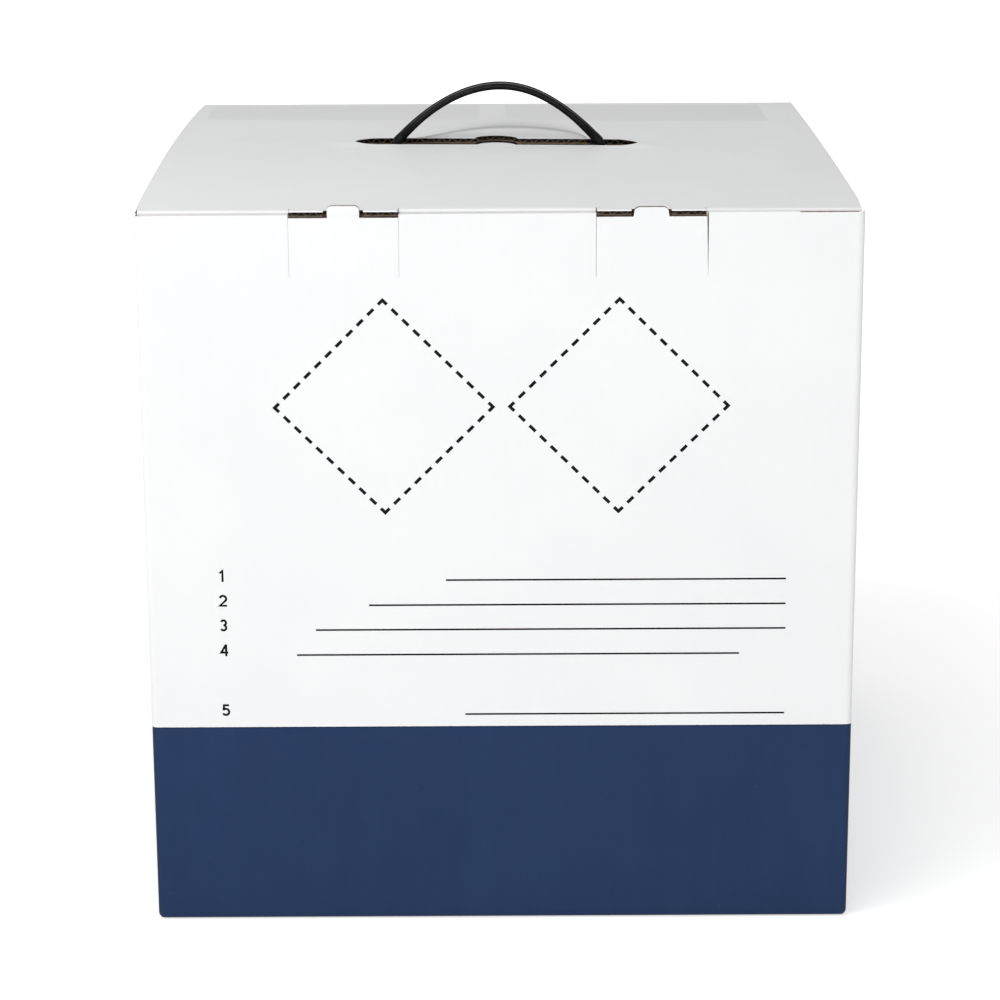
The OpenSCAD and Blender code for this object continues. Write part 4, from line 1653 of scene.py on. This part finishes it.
    def tab_crease(self, side: str) -> Crease:
        """The pressed crease at the foot of a lock tab.

        Args:
            side: left or right.

        Returns:
            The fold.
        """
        s = self.sizes
        axis = joint_place(f"tab_fold_{side}")
        ends = (axis.z - s.lead, axis.z + s.lead)
        outer = [(axis.y - s.bead, z) for z in ends]
        inner = [(axis.y + s.bead, z) for z in ends]
        node = f"lock_tab_{side}"
        fit = self.tabs[side]
        span = (low(node).x - fit.widen_left, high(node).x + fit.widen_right_foot)
        return Crease(f"tab_crease_{side}", "carton", f"tab_{side}", Across.X, axis,
                      outer, inner, -1, [span], s, self.palette)


def fix_normals(made: Piece) -> None:
    """Turns every face of a closed mesh outwards.

    Args:
        made: the piece.
    """
    mesh = bmesh.new()
    mesh.from_mesh(made.data)
    bmesh.ops.recalc_face_normals(mesh, faces=mesh.faces)
    mesh.to_mesh(made.data)
    mesh.free()


def dress(node: str, material: Material, slot: str) -> Piece:
    """Gives a CAD node that keeps its shape a finish.

    Args:
        node: the node's name.
        material: its finish.
        slot: its material slot in the record, not used.

    Returns:
        The node's object.
    """
    piece = frame["nodes"][node]
    piece.data.materials.clear()
    piece.data.materials.append(material)
    LOG.info("%s keeps its CAD shape, with %s", node, material.name)
    return piece


# ---- print


def widened(path: list[Spot], width: float) -> Loop:
    """The outline of a pen stroke along a path, with mitred joints and square ends.

    Args:
        path: the path.
        width: the stroke's width.

    Returns:
        The outline, counter-clockwise.
    """
    line = np.array(path)
    step = np.diff(line, axis=0)
    step /= np.linalg.norm(step, axis=1)[:, None]
    before = np.vstack([step[:1], step])
    after = np.vstack([step, step[-1:]])
    middle = before + after
    middle /= np.linalg.norm(middle, axis=1)[:, None]
    reach = width / 2 / np.clip((middle * after).sum(1), 0.5, 1)
    left = np.column_stack([-middle[:, 1], middle[:, 0]]) * reach[:, None]
    return [tuple(p) for p in np.vstack([line - left, (line + left)[::-1]])]


def numeral(value: int) -> list[list[Spot]]:
    """The pen paths of a plain numeral from 1 to 5, one unit high.

    Args:
        value: the number.

    Returns:
        One path for each stroke.
    """
    return {
        1: [[(0.05, 0.76), (0.33, 1.0), (0.33, -0.1)]],
        2: [arc((0.31, 0.69), 0.31, 165, -38, 12) + [(0.0, 0.0), (0.68, 0.0)]],
        3: [arc((0.29, 0.755), 0.25, 155, -90, 12), arc((0.29, 0.2525), 0.2575, 90, -155, 12)],
        4: [[(0.48, -0.1), (0.48, 1.1)], [(0.46, 1.05), (0.0, 0.27), (0.68, 0.27)]],
        5: [[(0.60, 1.0), (0.11, 1.0), (0.07, 0.47)], arc((0.28, 0.32), 0.32, 130, -150, 14)],
    }[value]


@dataclass
class FrontPrint:
    """The generic print: label outlines and fill-in rules on the front, panels on the lid."""

    sizes: BoxSizes
    palette: Palette
    carton: Carton
    film: float = 0.05 * MM
    label_side: float = 97.7 * MM
    label_middles: tuple[Spot, ...] = ((-73.8 * MM, 348.3 * MM), (75.0 * MM, 348.5 * MM))
    line_w: float = 2.1 * MM
    dash: float = 5.4 * MM
    dashes: int = 9
    chevron: float = 6.0 * MM
    rule_w: float = 1.15 * MM
    rules: tuple[Point, ...] = (
        (-35.5 * MM, 183.0 * MM, 234.0 * MM), (-85.2 * MM, 183.1 * MM, 217.3 * MM),
        (-119.7 * MM, 183.4 * MM, 200.7 * MM), (-132.3 * MM, 153.7 * MM, 183.8 * MM),
        (-23.6 * MM, 183.7 * MM, 142.9 * MM))
    number_x: float = -181.2 * MM
    number_h: float = 6.65 * MM
    pen_w: float = 1.45 * MM
    panel_spans: tuple[Spot, ...] = ((-216.0 * MM, -14.0 * MM), (5.0 * MM, 199.0 * MM))
    panel_reach: Spot = (128.0 * MM, 222.0 * MM)

    def build(self) -> list[Piece]:
        """Builds the print on the front wall and on the lid."""
        return [self.labels(), self.fill_in_rules(), self.numbers(), self.lid_panels()]

    def front(self, name: str, shapes: Sequence[Sequence[Loop]]) -> Piece:
        """Builds ink on the front wall.

        Args:
            name: the piece's name.
            shapes: for each patch of ink, outlines in X and Z whose union it fills.

        Returns:
            The piece.
        """
        parts = MeshParts()
        place = Plane(X_AXIS, Z_AXIS).placer(self.sizes.half_d)
        for loops in shapes:
            add_shell(parts, *triangulate(loops), -self.film, -self.film / 10, place)
        made = parts.build(name, [self.palette.ink])
        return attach(made, "carton")

    def labels(self) -> Piece:
        """Builds the two dashed squares that stand on their corners.

        Returns:
            Both outlines, as one piece.
        """
        shapes: list[list[Loop]] = []
        half = self.label_side / 2
        for x, z in self.label_middles:
            for side in range(4):
                a = side * math.pi / 2 + math.pi / 4
                cos, sin = math.cos(a), math.sin(a)
                shapes += [[[(x + u * cos - v * sin, z + u * sin + v * cos) for u, v in loop]]
                           for loop in self.side_dashes(half)]
        return self.front("label_outlines", shapes)

    def side_dashes(self, half: float) -> list[Loop]:
        """The dashes along one side of a label outline, and its corner.

        Args:
            half: half the label's side.

        Returns:
            The outlines of the dashes, for the upper side.
        """
        w = self.line_w / 2
        step = 2 * (half - self.chevron) / self.dashes
        out = []
        for i in range(self.dashes):
            middle = -half + self.chevron + step * (i + 0.5)
            out.append(widened([(middle - self.dash / 2, half), (middle + self.dash / 2, half)],
                               2 * w))
        c = half - self.chevron + (step - self.dash) / 2
        out.append(widened([(c, half), (half, half), (half, c)], 2 * w))
        return out

    def fill_in_rules(self) -> Piece:
        """Builds the rules that are written on."""
        return self.front("fill_in_rules",
                          [[widened([(a, z), (b, z)], self.rule_w)] for a, b, z in self.rules])

    def numbers(self) -> Piece:
        """Builds a plain number in front of each rule.

        Returns:
            The numbers, as one piece.
        """
        lift = (self.pen_w - self.rule_w) / 2
        shapes = []
        for value, (_, _, z) in enumerate(self.rules, start=1):
            shapes.append([widened([(self.number_x + u * self.number_h,
                                     z + lift + v * self.number_h) for u, v in path], self.pen_w)
                           for path in numeral(value)])
        return self.front("rule_numbers", shapes)

    def lid_panels(self) -> Piece:
        """Builds the two faint grey panels near the lid's hinge.

        Returns:
            Both panels, as one piece.
        """
        parts = MeshParts()
        front, rear = self.panel_reach
        cuts = [front + i * 5 * MM for i in range(1, 20)]
        across = [i * 5 * MM for i in range(-14, 15)]
        for a, b in self.panel_spans:
            loop = [(a, front), (b, front), (b, rear), (a, rear)]
            add_shell(parts, *triangulate([loop], across, cuts), -self.film, -self.film / 10,
                      self.carton.lid_place)
        made = parts.build("lid_address_panels", [self.palette.tint])
        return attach(made, "lid")


# ---- handle


@dataclass
class StrapHandle:
    """The moulded strap: raised rims, a neck in the slot, flared roots and two crossbars."""

    palette: Palette
    web: float = 3.2 * MM
    rim: float = 4.4 * MM
    rim_w: float = 2.2 * MM
    width: float = 14.0 * MM
    neck: float = 7.0 * MM
    neck_top: float = 15.0 * MM
    neck_blend: float = 6.0 * MM
    flare: float = 0.85
    flare_h: float = 17.0 * MM
    spread: float = 0.03
    spread_h: float = 12.0 * MM
    tuck_in: float = 3.5 * MM
    lean: Spot = (-0.5 * MM, 1.4 * MM)
    bar: Point = (9.0 * MM, 21.0 * MM, 2.4 * MM)
    bar_drop: float = 0.5 * MM
    bar_round: float = 0.4 * MM
    rim_round: float = 0.75
    stations: int = 120

    def build(self) -> Piece:
        """Builds the handle and seats it on its body.

        Returns:
            The handle.
        """
        foot = joint_place("handle_swing")
        top = high("carry_handle").z
        span = high("carry_handle").x - low("carry_handle").x - self.bar[0]
        rise = top - self.rim / 2 - foot.z
        parts = MeshParts()
        rings = []
        for i in range(self.stations + 1):
            x = span * (i / self.stations - 0.5)
            z = rise * (1 - (2 * x / span) ** 2)
            slope = -8 * rise * x / span ** 2
            size = math.hypot(1, slope)
            normal = Vector((-slope / size, 0, 1 / size))
            rings.append(self.ring(Vector((x + self.shift(x, z, rise), foot.y, foot.z + z)),
                                   normal, z))
        add_loft(parts, rings)
        for side in (-1, 1):
            self.add_crossbar(parts, Vector((side * span / 2, foot.y, foot.z - self.bar_drop)))
        made = parts.build("carry_handle_strap", [self.palette.strap], 42)
        fix_normals(made)
        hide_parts("carry_handle")
        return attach(made, "handle")

    def shift(self, x: float, height: float, rise: float) -> float:
        """How far a pulled strap stands off its even arch, sideways.

        Args:
            x: place across, from the middle.
            height: height above the feet.
            rise: the arch's height.

        Returns:
            The offset in metres.
        """
        start, more = self.lean
        held = float(smooth(np.array(height / self.spread_h)))
        tucked = math.copysign(self.tuck_in, x) * (1 - held)
        return held * (self.spread * x + start + more * (height / rise) ** 4) - tucked

    def ring(self, middle: Vector, normal: Vector, height: float) -> list[tuple]:
        """One cross-section of the strap, as points round its rims and its web.

        Args:
            middle: the section's middle.
            normal: the arch's upward direction there.
            height: height above the feet.

        Returns:
            The points, in turning order.
        """
        share = min(max((height - self.neck_top) / self.neck_blend, 0), 1)
        half = (self.neck + (self.width - self.neck) * share) / 2
        flare = 1 + self.flare * math.exp(-(height / self.flare_h) ** 2)
        web, rim = self.web / 2 * flare, self.rim / 2 * flare
        edge = self.rim_w
        turns = [math.pi / 2 * i / 6 for i in range(7)]
        side = [(-half + self.rim_round * edge * (1 - math.cos(a)), rim * math.sin(a))
                for a in turns]
        side += [(-half + edge, web), (0, web)]
        upper = side + [(-y, z) for y, z in side[-2::-1]]
        outline = upper + [(y, -z) for y, z in upper[-2:0:-1]]
        return [tuple(middle + Vector((0, y, 0)) + normal * z) for y, z in outline]

    def add_crossbar(self, parts: MeshParts, middle: Vector) -> None:
        """Adds a crossbar with round ends, as a stadium drawn along the slot.

        Args:
            parts: where the crossbar goes.
            middle: its middle.
        """
        w, length, t = self.bar
        straight = (length - t) / 2
        outline = [(straight + t / 2 * math.cos(a), t / 2 * math.sin(a))
                   for a in np.linspace(-math.pi / 2, math.pi / 2, 9)]
        outline += [(-y, -z) for y, z in outline]
        inset = self.bar_round
        rings = []
        for x, shrink in ((-w / 2, inset), (-w / 2 + inset, 0), (w / 2 - inset, 0), (w / 2, inset)):
            k = 1 - shrink / (t / 2)
            rings.append([(middle.x + x, middle.y + y - math.copysign(shrink, y),
                           middle.z + z * k) for y, z in outline])
        add_loft(parts, rings)


# ---- inside


def upright(points: np.ndarray) -> np.ndarray:
    """The placer of sheets whose plan is X and Y and whose depth is their height."""
    return points


def rectangle(centre: Spot, size: Spot, radius: float = 0.0, turn: float = 0.0) -> Loop:
    """The outline of a rectangle with round corners, turned by some degrees.

    Args:
        centre: its middle.
        size: its width and depth.
        radius: its corners' radius.
        turn: the turn in degrees.

    Returns:
        The outline, counter-clockwise.
    """
    w, d = size[0] / 2 - radius, size[1] / 2 - radius
    spots = [p for k, (sx, sy) in enumerate(((1, 1), (-1, 1), (-1, -1), (1, -1)))
             for p in (arc((sx * w, sy * d), radius, 90 * k, 90 * (k + 1), 5) if radius
                       else [(sx * w, sy * d)])]
    cos, sin = math.cos(math.radians(turn)), math.sin(math.radians(turn))
    return [(centre[0] + x * cos - y * sin, centre[1] + x * sin + y * cos) for x, y in spots]


@dataclass
class DocumentPouch:
    """A clear pouch of welded film on the foam lid, with folded papers in it."""

    palette: Palette
    film: float = 0.12 * MM
    weld: float = 3.6 * MM
    ramp: float = 6.0 * MM
    corner: float = 5.0 * MM
    paper: Spot = (204.0 * MM, 96.0 * MM)
    sheet: float = 0.11 * MM
    turns: tuple[float, ...] = (0.5, -0.3, 0.35, -0.15)
    headroom: float = 0.80 * MM
    crease_h: float = 0.13 * MM
    crease_top: float = 0.42 * MM
    closure: float = 22.0 * MM
    step: float = 2.6 * MM
    form_rows: int = 7
    waves: int = 7
    wave_pitch: Spot = (14, 46)
    fans: int = 16
    fan_reach: float = 22 * MM
    weld_rise: float = 0.05 * MM
    slack: float = 0.03 * MM

    @property
    def start(self) -> Vector:
        """The lowest corner of the pouch's CAD node."""
        return low("document_pouch")

    @property
    def size(self) -> Spot:
        """The pouch's size in X and Y."""
        end = high("document_pouch")
        return end.x - self.start.x, end.y - self.start.y

    @property
    def middle(self) -> Spot:
        """The pouch's middle in X and Y."""
        end = high("document_pouch")
        return (end.x + self.start.x) / 2, (end.y + self.start.y) / 2

    def build(self) -> list[Piece]:
        """Builds the film and the papers, both on the foam lid's body.

        Returns:
            The film and the papers.
        """
        film, papers = self.sleeve(), self.papers()
        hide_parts("document_pouch")
        for piece in (film, papers):
            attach(piece, "inner_lid")
        return [film, papers]

    def roof(self, x: np.ndarray, y: np.ndarray) -> np.ndarray:
        """Height of the upper film's underside above the foam lid.

        Args:
            x: places in X.
            y: places in Y.

        Returns:
            Heights in metres.
        """
        u, v = (size / 2 - np.abs(at - middle)
                for at, middle, size in zip((x, y), self.middle, self.size))
        inward = np.minimum(u, v)
        share = smooth((inward - self.weld) / self.ramp)
        seams = self.weld_rise * (np.abs(inward - self.weld / 2) < self.weld / 5)
        wave = np.zeros(len(x))
        draw = np.random.default_rng(11)
        for _ in range(self.waves):
            angle, pitch = draw.uniform(0, math.pi), draw.uniform(*self.wave_pitch) * MM
            along = (x * math.cos(angle) + y * math.sin(angle)) / pitch
            wave += np.sin(2 * math.pi * along + draw.uniform(0, 6))
        fan = np.sin(self.fans * np.arctan2(v, u)) * np.exp(-np.hypot(u, v) / self.fan_reach)
        lift = np.clip(self.crease_h * (1 + 0.3 * wave + 0.8 * fan), 0, self.crease_top)
        return self.film + self.slack + seams + share * (self.headroom - self.film + lift)

    def sleeve(self) -> Piece:
        """Builds the two films and the closing strip.

        Returns:
            The film.
        """
        parts = MeshParts()
        z = self.start.z + 0.02 * MM
        outline = rectangle(self.middle, self.size, self.corner)
        cuts = [[self.middle[k] - self.size[k] / 2 + i * self.step
                 for i in range(1, int(self.size[k] / self.step) + 1)] for k in (0, 1)]
        points, faces = triangulate([outline], *cuts)
        add_shell(parts, points, faces, z + self.film, z, upright)
        roof = z + self.roof(*points.T)
        add_shell(parts, points, faces, roof + self.film, roof, upright)
        edge = self.middle[1] + self.size[1] / 2 - self.closure / 2
        strip = rectangle((self.middle[0], edge), (self.size[0], self.closure), self.corner)
        points, faces = triangulate([strip], *cuts)
        over = z + self.roof(*points.T) + self.film + self.slack
        add_shell(parts, points, faces, over + self.film, over, upright)
        return parts.build("document_pouch_film", [self.palette.film])

    def papers(self) -> Piece:
        """Builds the folded papers, with a plain ruled form on the uppermost.

        Returns:
            The papers.
        """
        parts = MeshParts()
        z = self.start.z + self.film + 0.04 * MM
        gap = 0.02 * MM
        for turn in self.turns:
            add_shell(parts, *triangulate([rectangle(self.middle, self.paper, 0.0, turn)]),
                      z + self.sheet, z, upright)
            z += self.sheet + gap
        width, depth = self.paper
        for row in range(self.form_rows):
            y = self.middle[1] + depth * (0.36 - 0.72 * row / (self.form_rows - 1))
            short = 0.5 if row == 0 else 1.0
            line = rectangle((self.middle[0] - width * 0.42 * (1 - short), y),
                             (width * 0.84 * short, 0.5 * MM), 0.0, self.turns[-1])
            add_shell(parts, *triangulate([line]), z - gap + 0.01 * MM, z - gap, upright,
                      (1, 1, 1))
        return parts.build("document_papers", [self.palette.paper, self.palette.ink])


@dataclass
class AbsorbentSleeve:
    """A quilted absorbent sheet, rolled once round the inside of the jar."""

    palette: Palette
    overlap: float = 0.62
    bound: float = 0.5 * MM
    loft: float = 0.7 * MM
    diamond: float = 15.0 * MM
    cell: float = 2.4 * MM
    ring_w: float = 3.0 * MM
    clear: float = 0.05 * MM
    sway: float = 0.7 * MM

    def build(self) -> Piece:
        """Builds the roll in the space of its CAD ring.

        Returns:
            The roll.
        """
        start, end = low("absorbent_sleeve"), high("absorbent_sleeve")
        centre = (start + end) / 2
        room, thick = (end.x - start.x) / 2, self.bound + self.loft
        inner = room - self.ring_w + thick / 2 + self.clear
        outer = room - thick / 2 - self.clear
        whole = 2 * math.pi + self.overlap
        height = end.z - start.z
        length = (inner + outer) / 2 * whole
        turns = np.linspace(0, whole, round(length / self.cell) + 1)
        rows = np.linspace(0, 1, round(height / self.cell) + 1)
        points = np.array([(a, h) for h in rows for a in turns])
        n = len(turns)
        faces = [(r * n + i, r * n + i + 1, (r + 1) * n + i + 1, (r + 1) * n + i)
                 for r in range(len(rows) - 1) for i in range(n - 1)]
        run, rise = points[:, 0] * inner, points[:, 1] * height
        puff = np.abs(np.sin(math.pi * (run + rise) / self.diamond)
                      * np.sin(math.pi * (run - rise) / self.diamond)) ** 0.5
        half = (self.bound + self.loft * puff) / 2

        def place(spots: np.ndarray) -> np.ndarray:
            """Rolls the sheet up: turn, height share and depth into the row frame."""
            turn, share, depth = spots.T
            r = inner + (outer - inner) * turn / whole - depth
            sway = self.sway * (1 + np.sin(3 * turn + 0.4)) * share
            return np.column_stack([centre.x + r * np.cos(turn), centre.y + r * np.sin(turn),
                                    start.z + share * height - sway])
        parts = MeshParts()
        add_shell(parts, points, faces, -half, half, place)
        made = parts.build("absorbent_roll", [self.palette.absorbent], 70)
        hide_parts("absorbent_sleeve")
        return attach(made, "jar")


@dataclass
class Contents:
    """The foam box and all that it holds."""

    palette: Palette

    def build(self) -> list[Piece]:
        """Dresses the inner pieces.

        Returns:
            Every inner piece.
        """
        p = self.palette
        rows = [("foam_box", p.foam, "foam_white"), ("foam_lid", p.foam, "foam_white"),
                ("specimen_jar", p.jar, "jar_natural"), ("jar_lid", p.jar_lid, "jar_lid_red"),
                ("jar_seal", p.rubber, "seal_rubber"),
                ("tube_rack", p.rack, "rack_grey"), ("sample_tubes", p.tube, "tube_clear"),
                ("tube_caps", p.cap, "cap_yellow"), ("base_pad", p.kraft, "board_kraft"),
                ("jar_bridge", p.kraft, "board_kraft")]
        return [*(dress(*row) for row in rows), *DocumentPouch(p).build(),
                AbsorbentSleeve(p).build()]


# ---- studio


@dataclass(frozen=True)
class SoftBox:
    """A round area lamp: where it stands, how wide it is and its power in watts."""

    name: str
    at: Point
    size: float
    power: float


@dataclass
class Studio:
    """The camera, the lamps and the floor."""

    centre: Point = (-0.00406, -2.10582, 0.80107)
    pitch: float = 15.390
    yaw: float = 0.1075
    roll: float = -0.238
    focal_px: float = 3035.2
    frame_px: float = 1000.0
    sensor: float = 36.0
    aim: Point = (0, 0, 0.25)
    lamps: tuple[SoftBox, ...] = (SoftBox("key", (-0.14, -3.3, 1.20), 2.4, 40.3),
                                  SoftBox("top", (-0.85, -1.0, 1.80), 1.3, 11.3),
                                  SoftBox("left", (-2.8, -0.9, 1.2), 1.6, 9.5),
                                  SoftBox("right", (2.9, -0.6, 1.2), 1.6, 4.5))
    fill: float = 0.42
    floor_half: float = 14.0
    floor_lit: tuple[Spot, Spot] = ((0.3, 0.46), (2.6, 1.0))

    def build(self) -> None:
        """Sets up the whole studio."""
        self.camera()
        self.place_lamps()
        self.world()
        self.floor()
        bpy.context.scene.view_settings.view_transform = "Standard"

    def camera(self) -> None:
        """Places the camera at the box's front, a little above it."""
        p, y, r = (math.radians(a) for a in (self.pitch, self.yaw, self.roll))
        ahead = Vector((math.sin(y), math.cos(y), 0))
        right = Vector((math.cos(y), -math.sin(y), 0))
        view = ahead * math.cos(p) - Z_AXIS * math.sin(p)
        lift = Z_AXIS * math.cos(p) + ahead * math.sin(p)
        side = right * math.cos(r) + lift * math.sin(r)
        top = -right * math.sin(r) + lift * math.cos(r)
        data = bpy.data.cameras.new("camera")
        data.sensor_width = self.sensor
        data.lens = self.focal_px / self.frame_px * self.sensor
        data.clip_end = 50
        made = bpy.data.objects.new("camera", data)
        turn = Matrix((side, top, -view)).transposed().to_4x4()
        made.matrix_world = Matrix.Translation(Vector(self.centre)) @ turn
        bpy.context.scene.collection.objects.link(made)
        bpy.context.scene.camera = made

    def place_lamps(self) -> None:
        """Places the soft boxes."""
        for lamp in self.lamps:
            data = bpy.data.lights.new(lamp.name, "AREA")
            data.shape = "DISK"
            data.size = lamp.size
            data.energy = lamp.power
            made = bpy.data.objects.new(lamp.name, data)
            made.location = lamp.at
            ahead = Vector(self.aim) - Vector(lamp.at)
            made.rotation_euler = ahead.to_track_quat("-Z", "Y").to_euler()
            bpy.context.scene.collection.objects.link(made)

    def world(self) -> None:
        """White where the camera or a reflection sees it, plain fill light elsewhere."""
        world = bpy.data.worlds.new("studio")
        bpy.context.scene.world = world
        world.use_nodes = True
        nodes = Nodes(world.node_tree)
        back = nodes.tree.nodes["Background"].inputs
        back["Color"].default_value = (1, 1, 1, 1)
        nodes.link(nodes.ramp(nodes.seen_directly(), 0.0, 1.0, self.fill), back["Strength"])

    def floor(self) -> None:
        """Lays the pale floor, which keeps the box's shadow."""
        parts = MeshParts()
        half = self.floor_half
        parts.add(np.array([(-half, -half, 0), (half, -half, 0), (half, half, 0),
                            (-half, half, 0)]), [(0, 1, 2, 3)])
        s = Shader("floor_paint", (0.90, 0.90, 0.90), 0.9)
        length = s.node("ShaderNodeVectorMath", {0: s.coords}, operation="LENGTH")
        (near, near_glow), (far, far_glow) = self.floor_lit
        glow = s.ramp(length.outputs["Value"], near, far, near_glow, far_glow)
        s.set(Emission_Color=(1, 1, 1, 1), Specular_IOR_Level=0.0)
        s.link(s.math("MULTIPLY", glow, s.seen_directly()),
               s.bsdf.inputs["Emission Strength"])
        made = parts.build("floor", [s.material])
        made.location.z = -0.05 * MM


def main() -> None:
    """Builds the studio and every piece of the box."""
    logging.basicConfig(level=logging.INFO, format="%(name)s: %(message)s")
    Studio().build()
    sizes = BoxSizes()
    palette = Palette(sizes)
    carton = Carton(sizes, palette)
    for made in carton.build():
        LOG.info("carton piece %s", made.name)
    for made in FrontPrint(sizes, palette, carton).build():
        LOG.info("print %s", made.name)
    LOG.info("handle %s", StrapHandle(palette).build().name)
    for made in Contents(palette).build():
        LOG.info("inner piece %s", made.name)


if __name__ == "__main__":
    main()
